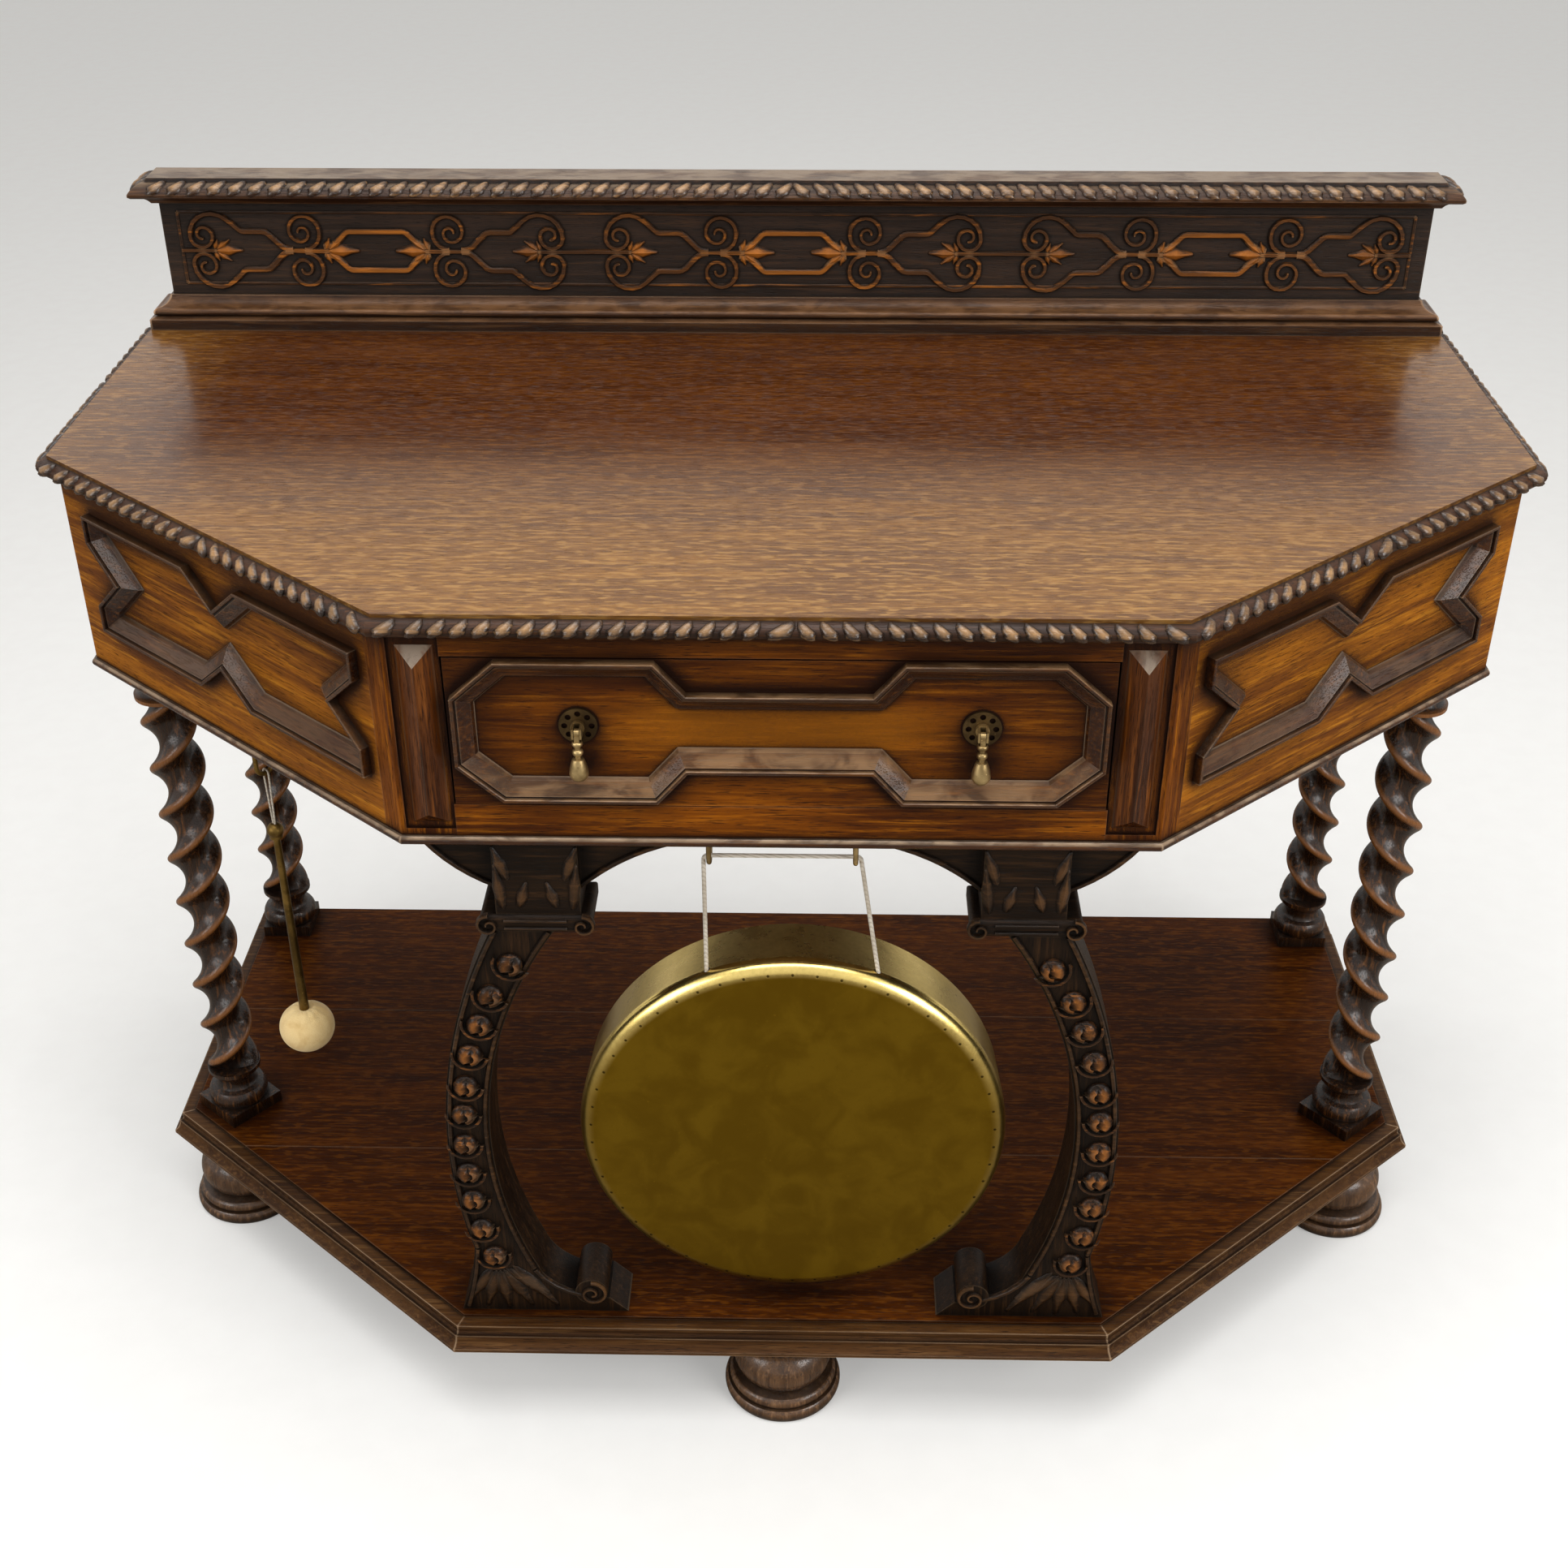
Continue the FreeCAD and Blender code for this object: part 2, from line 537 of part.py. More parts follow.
def frieze():
    """Rails, posts, panels and bead of the frieze, with the blocks glued inside it."""
    face = outline(-FRIEZE_SETBACK)
    back_face = outline(-FRIEZE_SETBACK - FRIEZE_THICKNESS)
    front, wide = Vector(*face[3], 0), Vector(*face[4], 0)
    split = front + CANT_RUN * POST_CANT
    split_in = split - CANT_OUT * FRIEZE_THICKNESS
    rail_back = FRIEZE_FRONT + RAIL_DEPTH
    post = prism([(OPENING_HALF, FRIEZE_FRONT), face[3], (split.x, split.y), (split_in.x, split_in.y),
                  (OPENING_HALF, rail_back)], FRIEZE_BOTTOM, FRIEZE_TOP)
    recess = box(OPENING_HALF, front.x - RECESS_MARGIN, FRIEZE_FRONT, FRIEZE_FRONT + RECESS_DEPTH,
                 FRIEZE_BOTTOM + RECESS_FOOT, FRIEZE_TOP)
    post = post.cut(recess)
    cant = prism([(split.x, split.y), face[4], back_face[4], (split_in.x, split_in.y)],
                 FRIEZE_BOTTOM, FRIEZE_TOP)
    cant = cant.cut(sunk_field(*cant_frame()))
    moulding = frame_moulding(*cant_frame())
    end = prism([face[4], face[5], back_face[5], back_face[4]], FRIEZE_BOTTOM, FRIEZE_TOP)
    inner_x = back_face[5][0]
    back_rail = box(-inner_x, inner_x, BACK - FRIEZE_THICKNESS, BACK, FRIEZE_BOTTOM, FRIEZE_TOP)
    top_rail = box(-OPENING_HALF, OPENING_HALF, FRIEZE_FRONT, rail_back, OPENING_TOP, FRIEZE_TOP)
    bottom_rail = box(-OPENING_HALF, OPENING_HALF, FRIEZE_FRONT, rail_back, FRIEZE_BOTTOM, OPENING_BOTTOM)
    for place, away in gong_hook_places():
        bottom_rail = bottom_rail.cut(hook_bore(place, away))
    place, away = beater_hook_place()
    left_cant = mirrored(cant).cut(hook_bore(place, away))

    bead_middle = FRIEZE_BOTTOM + BEAD_HEIGHT / 2
    bead = mitred_strips(outline, (-FRIEZE_SETBACK, FRIEZE_BOTTOM), [
        (BEAD_REACH / 2 - FRIEZE_SETBACK, FRIEZE_BOTTOM),
        ((BEAD_REACH - FRIEZE_SETBACK, bead_middle),
         (BEAD_REACH / 2 - FRIEZE_SETBACK, FRIEZE_BOTTOM + BEAD_HEIGHT)),
        (-FRIEZE_SETBACK, FRIEZE_BOTTOM + BEAD_HEIGHT),
    ], -FRIEZE_SETBACK, EDGE_OVERHANG)

    inside = prism([(x, min(y, BACK - FRIEZE_THICKNESS)) for x, y in back_face],
                   FRIEZE_BOTTOM, FRIEZE_TOP)
    half = CORNER_BLOCK / 2
    blocks = []
    block_top = FRIEZE_BOTTOM + CORNER_BLOCK_HEIGHT
    for x, y in leg_axes():
        block = box(x - half, x + half, y - half, y + half, FRIEZE_BOTTOM, block_top).common(inside)
        foot = Vector(x, y, FRIEZE_BOTTOM)
        bore = rod(PIN_RADIUS + PIN_CLEARANCE, foot, foot + UP * (PIN_LENGTH + PIN_END_GAP))
        blocks.append(block.cut(bore).Solids[0])
    deep, long, tall = GLUE_BLOCK
    end_middle = (face[4][1] + BACK) / 2
    low, half_long, rear = FRIEZE_TOP - tall, long / 2, BACK - FRIEZE_THICKNESS
    for x0, x1 in ((inner_x - deep, inner_x), (-inner_x, deep - inner_x)):
        blocks.append(box(x0, x1, end_middle - half_long, end_middle + half_long, low, FRIEZE_TOP))
    for x in (-OPENING_HALF / 2, OPENING_HALF / 2):
        blocks.append(box(x - half_long, x + half_long, rear - deep, rear, low, FRIEZE_TOP))
    return {
        "front_top_rail": top_rail,
        "front_bottom_rail": bottom_rail,
        "left_front_post": mirrored(post),
        "right_front_post": post,
        "left_hip_block": mirrored(hip_block()),
        "right_hip_block": hip_block(),
        "left_cant_panel": left_cant,
        "right_cant_panel": cant,
        "left_cant_moulding": mirrored(moulding),
        "right_cant_moulding": moulding,
        "left_end_panel": mirrored(end),
        "right_end_panel": end,
        "back_rail": back_rail,
        "frieze_bead": Part.makeCompound(bead),
        "corner_blocks": Part.makeCompound(blocks),
    }


def drawer_carriers():
    """Runners with their guides, and the kickers above the drawer."""
    front, back = FRIEZE_FRONT + RAIL_DEPTH, BACK - FRIEZE_THICKNESS
    outer = OPENING_HALF + GUIDE_WIDTH
    runner = box(outer - RUNNER_WIDTH, outer, front, back, OPENING_BOTTOM - RUNNER_HEIGHT, OPENING_BOTTOM)
    guide = box(OPENING_HALF, outer, front, back, OPENING_BOTTOM, OPENING_BOTTOM + GUIDE_HEIGHT)
    runner = runner.fuse(guide).removeSplitter()
    kicker = box(outer - RUNNER_WIDTH, outer, front, back, OPENING_TOP, FRIEZE_TOP)
    return {
        "left_drawer_runner": mirrored(runner),
        "right_drawer_runner": runner,
        "drawer_kickers": Part.makeCompound([mirrored(kicker), kicker]),
    }


def drawer():
    """Drawer box with its moulded front."""
    rear = DRAWER_FRONT_BACK + DRAWER_LENGTH
    inner = DRAWER_HALF - DRAWER_WALL
    side_top = DRAWER_CEILING - SIDE_TOP_DROP
    bottom_top = DRAWER_FLOOR + DRAWER_BOTTOM_LIFT + DRAWER_BOTTOM
    side = box(inner, DRAWER_HALF, DRAWER_FRONT_BACK, rear, DRAWER_FLOOR, side_top)
    front = box(-DRAWER_HALF, DRAWER_HALF, FRIEZE_FRONT, DRAWER_FRONT_BACK, DRAWER_FLOOR, DRAWER_CEILING)
    right = [(WAIST_HALF_LENGTH, -WAIST_HALF_HEIGHT), (LOBE_NEAR_SHOULDER, -LOBE_HALF_HEIGHT),
             (LOBE_FAR_SHOULDER, -LOBE_HALF_HEIGHT), (LOBE_FAR, -LOBE_END_HALF)]
    right += [(u, -v) for u, v in reversed(right)]
    loop = right + [(-u, -v) for u, v in right]

    def lift(u, v, h):
        return Vector(u, FRIEZE_FRONT - h, DRAWER_MIDDLE + LOBE_LIFT + v)

    return {
        "drawer_front": front.cut(sunk_field(loop, lift)),
        "drawer_front_moulding": frame_moulding(loop, lift),
        "left_drawer_side": mirrored(side),
        "right_drawer_side": side,
        "drawer_back": box(-inner, inner, rear - DRAWER_WALL, rear, bottom_top, side_top),
        "drawer_bottom": box(-inner, inner, DRAWER_FRONT_BACK, rear,
                             bottom_top - DRAWER_BOTTOM, bottom_top),
    }


def pull_rosette(x):
    """Pierced round plate of a drop handle."""
    face = Vector(x, FIELD_FRONT, PULL_Z)
    plate = Part.makeCylinder(ROSETTE_RADIUS, ROSETTE_THICKNESS, face, FORWARD)
    for i in range(ROSETTE_HOLES):
        angle = 2 * math.pi * i / ROSETTE_HOLES
        spot = face + (RIGHT * math.cos(angle) + UP * math.sin(angle)) * ROSETTE_HOLE_RING
        plate = plate.cut(Part.makeCylinder(ROSETTE_HOLE_RADIUS, ROSETTE_THICKNESS, spot, FORWARD))
    return plate


def pull_stud(x):
    """Stud with a fork and pivot that carries the drop."""
    face = Vector(x, FIELD_FRONT - ROSETTE_THICKNESS, PULL_Z)
    stud = Part.makeCylinder(STUD_RADIUS, STUD_LENGTH, face, FORWARD)
    near = EYE_WIDTH / 2 + EYE_SIDE_GAP
    root = face.y - STUD_LENGTH
    low, high = PULL_Z - FORK_HEIGHT / 2, PULL_Z + FORK_HEIGHT / 2
    for x0 in (x - near - FORK_WALL, x + near):
        cheek = box(x0, x0 + FORK_WALL, root - FORK_LENGTH, root, low, high)
        stud = stud.fuse(cheek)
    pivot_y = FIELD_FRONT - PULL_PIVOT_REACH
    pivot = rod(PIVOT_RADIUS, Vector(x - near, pivot_y, PULL_Z), Vector(x + near, pivot_y, PULL_Z))
    return stud.fuse(pivot).removeSplitter()


def pull_drop(x):
    """Turned drop, two beads over a pear, with the eye that it swings from."""
    neck, waist, bead = -EYE_RADIUS - FORK_HEIGHT / 2, 0.32 * DROP_RADIUS, 0.58 * DROP_RADIUS
    body = turned((0.0, neck), [
        (0.45 * DROP_RADIUS, neck),
        ((bead, -0.225 * DROP_LENGTH), (waist, -0.28 * DROP_LENGTH)),
        (waist, -0.33 * DROP_LENGTH),
        ((bead, -0.4 * DROP_LENGTH), (waist, -0.47 * DROP_LENGTH)),
        (waist, -0.52 * DROP_LENGTH),
        (0.6 * DROP_RADIUS, -0.54 * DROP_LENGTH),
        ((0.88 * DROP_RADIUS, -0.7 * DROP_LENGTH), (DROP_RADIUS, -0.84 * DROP_LENGTH)),
        ((0.7 * DROP_RADIUS, -0.955 * DROP_LENGTH), (0.15 * DROP_RADIUS, -DROP_LENGTH)),
        (0.0, -DROP_LENGTH),
    ])
    half = EYE_WIDTH / 2
    eye = Part.makeCylinder(EYE_RADIUS, EYE_WIDTH, Vector(-half, 0, 0), RIGHT)
    shank = box(-half, half, -0.8 * EYE_RADIUS, 0.8 * EYE_RADIUS, neck, 0)
    bore = Part.makeCylinder(PIVOT_RADIUS + PIVOT_CLEARANCE, EYE_WIDTH, Vector(-half, 0, 0), RIGHT)
    drop = body.fuse([eye, shank]).cut(bore).removeSplitter()
    drop.translate(Vector(x, FIELD_FRONT - PULL_PIVOT_REACH, PULL_Z))
    return drop


def pulls():
    """Two drop handles of the drawer."""
    places = (-PULL_X, PULL_X)
    return {
        "pull_rosettes": Part.makeCompound([pull_rosette(x) for x in places]),
        "pull_studs": Part.makeCompound([pull_stud(x) for x in places]),
        "left_drop": pull_drop(-PULL_X),
        "right_drop": pull_drop(PULL_X),
    }


def leg_axes():
    """Plan places of the legs: left front, right front, left back, right back."""
    front_x, front_y = WIDE_CORNER.x - FRONT_LEG_INSET[0], WIDE_CORNER.y + FRONT_LEG_INSET[1]
    back_x, back_y = BOARD_HALF - BACK_LEG_INSET[0], BACK - BACK_LEG_INSET[1]
    return [(-front_x, front_y), (front_x, front_y), (-back_x, back_y), (back_x, back_y)]


def twist(height):
    """Right-handed two-strand twist, its section a bar with rounded tips."""
    tip, waist = TWIST_TIP_RADIUS, TWIST_WAIST
    centre = TWIST_CREST - tip
    flank = (waist ** 2 + centre ** 2 - tip ** 2) / (2 * (waist - tip))
    slope = math.hypot(centre, flank - waist)
    touch = (centre + tip * centre / slope, tip * (flank - waist) / slope)
    u, v = touch
    wire = closed_wire((u, -v), [
        ((TWIST_CREST, 0.0), (u, v)),
        ((0.0, waist), (-u, v)),
        ((-TWIST_CREST, 0.0), (-u, -v)),
    ], lambda a, b: Vector(a, b, 0))
    edges = wire.Edges[:3] + [Part.Arc(Vector(-u, -v, 0), Vector(0, -waist, 0), Vector(u, -v, 0)).toShape()]
    spine = Part.Wire(Part.LineSegment(ORIGIN, UP * height).toShape())
    sweep = Part.BRepOffsetAPI.MakePipeShell(spine)
    sweep.setAuxiliarySpine(Part.makeHelix(TWIST_LEAD, height, 2 * TWIST_CREST), False, 0)
    sweep.add(Part.Wire(edges))
    sweep.build()
    sweep.makeSolid()
    return sweep.shape()


def leg(plinth, turn):
    """Left-hand leg standing on Z = 0: plinth, turned foot, twist, turned cap and two pins."""
    foot, cap = PLINTH_HEIGHT + LEG_FOOT_TURNING, LEG_LENGTH - LEG_CAP_TURNING
    crest = TWIST_CREST + 1
    half = plinth / 2
    block = box(-half, half, -half, half, 0, PLINTH_HEIGHT)
    block.rotate(ORIGIN, UP, turn)
    lower = turned((0.0, PLINTH_HEIGHT - TWIST_ROOT), [
        (crest, PLINTH_HEIGHT - TWIST_ROOT),
        (crest + 1, PLINTH_HEIGHT),
        ((crest + 3, PLINTH_HEIGHT + 0.2 * LEG_FOOT_TURNING),
         (crest, PLINTH_HEIGHT + 0.4 * LEG_FOOT_TURNING)),
        (0.8 * crest, PLINTH_HEIGHT + 0.44 * LEG_FOOT_TURNING),
        ((0.72 * crest, PLINTH_HEIGHT + 0.6 * LEG_FOOT_TURNING),
         (0.86 * crest, PLINTH_HEIGHT + 0.8 * LEG_FOOT_TURNING)),
        (crest, foot - 0.1 * LEG_FOOT_TURNING),
        (crest, foot),
        (0.0, foot),
    ])
    upper = turned((0.0, cap), [
        (crest, cap),
        (crest, cap + 0.1 * LEG_CAP_TURNING),
        ((0.72 * crest, cap + 0.3 * LEG_CAP_TURNING),
         (0.8 * LEG_CAP_RADIUS, cap + 0.56 * LEG_CAP_TURNING)),
        (LEG_CAP_RADIUS, cap + 0.62 * LEG_CAP_TURNING),
        (LEG_CAP_RADIUS, LEG_LENGTH),
        (0.0, LEG_LENGTH),
    ])
    strands = twist(cap - foot + 2 * TWIST_ROOT)
    strands.translate(UP * (foot - TWIST_ROOT))
    pins = [rod(PIN_RADIUS, UP * -SHELF_PIN_LENGTH, UP * TWIST_ROOT),
            rod(PIN_RADIUS, UP * (LEG_LENGTH - TWIST_ROOT), UP * (LEG_LENGTH + PIN_LENGTH))]
    return block.fuse([lower, strands, upper] + pins).removeSplitter()


def legs():
    """Four twisted legs, the right ones mirror images of the left."""
    cant_angle = -math.degrees(math.atan2(CANT_RUN.y, CANT_RUN.x))
    front, back = leg(FRONT_PLINTH, cant_angle), leg(BACK_PLINTH, 0.0)
    front.translate(Vector(*leg_axes()[0], SHELF_TOP))
    back.translate(Vector(*leg_axes()[2], SHELF_TOP))
    return {
        "left_front_leg": front,
        "right_front_leg": mirrored(front),
        "left_back_leg": back,
        "right_back_leg": mirrored(back),
    }


def foot_axes():
    """Plan places of the feet by name."""
    side_x, side_y = WIDE_CORNER.x - SIDE_FOOT_INSET[0], WIDE_CORNER.y + SIDE_FOOT_INSET[1]
    back_x, back_y = BOARD_HALF - BACK_FOOT_INSET[0], BACK - BACK_FOOT_INSET[1]
    return {
        "front_foot": (0.0, FRONT + FOOT_RADIUS),
        "left_foot": (-side_x, side_y),
        "right_foot": (side_x, side_y),
        "left_back_foot": (-back_x, back_y),
        "right_back_foot": (back_x, back_y),
    }


def turned_foot():
    """Bun foot with two base rings, a ball, a neck and a flange, and a pin for the shelf."""
    base, ring = 0.15 * FOOT_HEIGHT, 0.27 * FOOT_HEIGHT
    ball_top = 0.74 * FOOT_HEIGHT
    profile = turned((0.0, 0.0), [
        (0.95 * FOOT_RADIUS, 0.0),
        ((FOOT_RADIUS, 0.5 * base), (0.95 * FOOT_RADIUS, base)),
        (0.88 * FOOT_RADIUS, base),
        ((0.92 * FOOT_RADIUS, (base + ring) / 2), (0.86 * FOOT_RADIUS, ring)),
        (0.7 * FOOT_RADIUS, ring + 0.02 * FOOT_HEIGHT),
        ((0.84 * FOOT_RADIUS, (ring + ball_top) / 2), (0.62 * FOOT_RADIUS, ball_top)),
        (0.5 * FOOT_RADIUS, ball_top + 0.04 * FOOT_HEIGHT),
        (0.5 * FOOT_RADIUS, 0.88 * FOOT_HEIGHT),
        (0.62 * FOOT_RADIUS, 0.9 * FOOT_HEIGHT),
        (0.62 * FOOT_RADIUS, FOOT_HEIGHT),
        (0.0, FOOT_HEIGHT),
    ])
    pin = rod(PIN_RADIUS, UP * (FOOT_HEIGHT - TWIST_ROOT), UP * (FOOT_HEIGHT + SHELF_PIN_LENGTH))
    return profile.fuse(pin)


def shelf_and_feet():
    """Shelf of three boards with its edge moulding, and five turned feet."""
    plan = prism(outline(-SHELF_BOARD_INSET), FOOT_HEIGHT, SHELF_TOP)
    bore_depth = SHELF_PIN_LENGTH + PIN_END_GAP
    mouths = [Vector(x, y, SHELF_TOP - bore_depth) for x, y in leg_axes()]
    mouths += [Vector(x, y, FOOT_HEIGHT) for x, y in foot_axes().values()]
    plan = plan.cut([rod(PIN_RADIUS + PIN_CLEARANCE, mouth, mouth + UP * bore_depth) for mouth in mouths])
    edges = (0.0,) + SHELF_JOINTS + (TABLE_DEPTH,)
    nodes = {}
    for name, near, far in zip(("back", "middle", "front"), edges, edges[1:]):
        strip = box(-TABLE_WIDTH, TABLE_WIDTH, BACK - far, BACK - near, FOOT_HEIGHT, SHELF_TOP)
        nodes[f"{name}_shelf_board"] = plan.common(strip).Solids[0]
    lip = SHELF_TOP - SHELF_LIP_DROP
    step = FOOT_HEIGHT + 0.58 * SHELF_THICKNESS
    edge = mitred_strips(outline, (-SHELF_BOARD_INSET, FOOT_HEIGHT), [
        (SHELF_FLARE, FOOT_HEIGHT),
        (SHELF_FLARE, FOOT_HEIGHT + 0.12 * SHELF_THICKNESS),
        ((0.62 * SHELF_FLARE, FOOT_HEIGHT + 0.3 * SHELF_THICKNESS), (0.5 * SHELF_FLARE, step)),
        (0.3 * SHELF_FLARE, step),
        (0.16 * SHELF_FLARE, step + 0.12 * SHELF_THICKNESS),
        (0.16 * SHELF_FLARE, lip),
        (-SHELF_BOARD_INSET, lip),
    ], -SHELF_BOARD_INSET, 2 * SHELF_FLARE)
    nodes["shelf_edge_moulding"] = Part.makeCompound(edge)
    for name, (x, y) in foot_axes().items():
        nodes[name] = turned_foot()
        nodes[name].translate(Vector(x, y, 0))
    return nodes


def gong_bracket():
    """Right gong bracket: C-shaped column on a splayed foot with a volute."""
    ankle_in, ankle_out = BRACKET_ANKLE
    belly_in, belly_out = BRACKET_BELLY
    neck_in, neck_out = BRACKET_NECK
    low_in, low_out = (SHELF_TOP + lift for lift in BRACKET_ANKLE_LIFT)
    top = FRIEZE_BOTTOM - CAPITAL_HEIGHT - COLLAR_HEIGHT
    belly = (SHELF_TOP + top) / 2
    foot_top = SHELF_TOP + BRACKET_FOOT_HEIGHT
    wire = closed_wire((BRACKET_TOE_IN, SHELF_TOP), [
        (BRACKET_TOE_OUT, SHELF_TOP),
        ((0.6 * ankle_out + 0.4 * BRACKET_TOE_OUT, 0.55 * SHELF_TOP + 0.45 * low_out),
         (ankle_out, low_out)),
        ((belly_out, belly - 0.1 * (top - SHELF_TOP)), (neck_out, top)),
        (neck_in, top),
        ((belly_in, belly - 0.03 * (top - SHELF_TOP)), (ankle_in, low_in)),
        ((BRACKET_INSTEP + 0.3 * (ankle_in - BRACKET_INSTEP), foot_top + 0.3 * (low_in - foot_top)),
         (BRACKET_INSTEP - VOLUTE_RADIUS, foot_top)),
        (BRACKET_TOE_IN + BRACKET_FOOT_HEIGHT, foot_top),
    ], lambda u, v: Vector(u, BRACKET_FRONT, v))
    column = Part.Face(wire).extrude(FORWARD * -BRACKET_THICKNESS)
    eye = Vector(VOLUTE_X, BRACKET_FRONT, foot_top + 0.6 * VOLUTE_RADIUS)
    volute = rod(VOLUTE_RADIUS, eye + FORWARD * VOLUTE_PROUD, eye - FORWARD * BRACKET_THICKNESS)
    return column.fuse(volute).removeSplitter()


def bracket_capital():
    """Right capital: collar and block between the bracket and the frieze."""
    front, back = BRACKET_FRONT, BRACKET_FRONT + BRACKET_THICKNESS
    collar_foot = FRIEZE_BOTTOM - CAPITAL_HEIGHT - COLLAR_HEIGHT
    collar_top = collar_foot + COLLAR_HEIGHT
    collar = box(*COLLAR, front - COLLAR_PROUD, back + COLLAR_PROUD, collar_foot, collar_top)
    rims = [edge for edge in collar.Edges if abs(edge.Vertexes[0].Z - edge.Vertexes[-1].Z) < 1]
    collar = collar.makeFillet(0.28 * COLLAR_HEIGHT, rims)
    block = box(*CAPITAL, front, back, collar_top, FRIEZE_BOTTOM)
    return collar.fuse(block).removeSplitter()


def bracket_spandrels():
    """Right pair of spandrel wings beside the capital."""
    y = BRACKET_FRONT + (BRACKET_THICKNESS - SPANDREL_THICKNESS) / 2
    tip, root = FRIEZE_BOTTOM - SPANDREL_TIP_HEIGHT, FRIEZE_BOTTOM - SPANDREL_ROOT_HEIGHT
    wings = []
    for stem, end, near, low in zip(CAPITAL, SPANDREL_TIPS, (0.62, 0.42), (0.25, 0.72)):
        bend = (stem + near * (end - stem), tip + low * (root - tip))
        steps = [(end, FRIEZE_BOTTOM), (end, tip), (bend, (stem, root))]
        wire = closed_wire((stem, FRIEZE_BOTTOM), steps, lambda u, v: Vector(u, y, v))
        wings.append(Part.Face(wire).extrude(FORWARD * -SPANDREL_THICKNESS))
    return Part.makeCompound(wings)


def brackets():
    """Both gong brackets with their capitals and spandrels."""
    nodes = {}
    for name, make in (("gong_bracket", gong_bracket), ("bracket_capital", bracket_capital),
                       ("bracket_spandrels", bracket_spandrels)):
        nodes[f"right_{name}"] = make()
        nodes[f"left_{name}"] = mirrored(make())
    return nodes


def gong_hook_places():
    """Lowest wire point and opening direction of the two gong hooks."""
    spread = HOOK_SPREAD / 2
    return [(Vector(HOOK_SHIFT + x, HOOK_Y, HOOK_Z), FORWARD * -1) for x in (-spread, spread)]


def beater_hook_place():
    """Lowest wire point and opening direction of the beater hook, under the left cant."""
    inward = Vector(CANT_OUT.x, -CANT_OUT.y, 0)
    run = Vector(-CANT_RUN.x, CANT_RUN.y, 0)
    corner = Vector(*outline(-FRIEZE_SETBACK)[2], FRIEZE_BOTTOM - BEATER_HOOK_DROP)
    return corner + run * BEATER_HOOK_RUN + inward * (FRIEZE_THICKNESS / 2 + HOOK_BEND), inward


def gong_and_cord():
    """Brass bowl gong with its cord, and the hooks that carry it."""
    outer, edge, depth, wall = GONG_RADIUS, GONG_EDGE_RADIUS, GONG_DEPTH, GONG_WALL
    bend = edge * (1 - math.sqrt(0.5))
    inner_bend = edge - (edge - wall) * math.sqrt(0.5)
    bowl = turned((0.0, 0.0), [
        (outer - edge, 0.0),
        ((outer - bend, bend), (outer, edge)),
        (outer - GONG_TAPER, depth),
        (outer - GONG_TAPER - wall, depth),
        (outer - wall, edge),
        ((outer - inner_bend, inner_bend), (outer - edge, wall)),
        (0.0, wall),
    ])
    centre = Vector(GONG_SHIFT, FRONT + GONG_SETBACK, SHELF_TOP + GONG_SHELF_GAP + GONG_RADIUS)
    bowl.rotate(ORIGIN, RIGHT, -90)
    bowl.translate(centre)

    places = gong_hook_places()
    hooks = [(place.x, place.z) for place, away in places]
    rim = outer - wall - GONG_TAPER * (GONG_BALANCE - edge) / (depth - edge)
    hole_angle = math.asin(GONG_HOLE_X / rim)
    knot = rim - KNOT_RADIUS - KNOT_GAP
    knot_z = centre.z + knot * math.cos(hole_angle)
    spread = knot * math.sin(hole_angle)
    ends = [(GONG_SHIFT - spread, knot_z), (GONG_SHIFT + spread, knot_z)]

    def lift(u, v):
        return Vector(u, HOOK_Y, v)

    cord = cord_over(hooks, ends[0], ends[1], CORD_TURN, CORD, lift, "gong cord")
    for end, top in zip(ends, hooks):
        bowl = bowl.cut(rod(GONG_HOLE_RADIUS, lift(*end), lift(*top)))
        cord = cord.fuse(Part.makeSphere(KNOT_RADIUS, lift(*end)))
    return {
        "gong_bowl": bowl,
        "gong_cord": cord.removeSplitter(),
        "gong_hooks": Part.makeCompound([hook(place, away) for place, away in places]),
    }


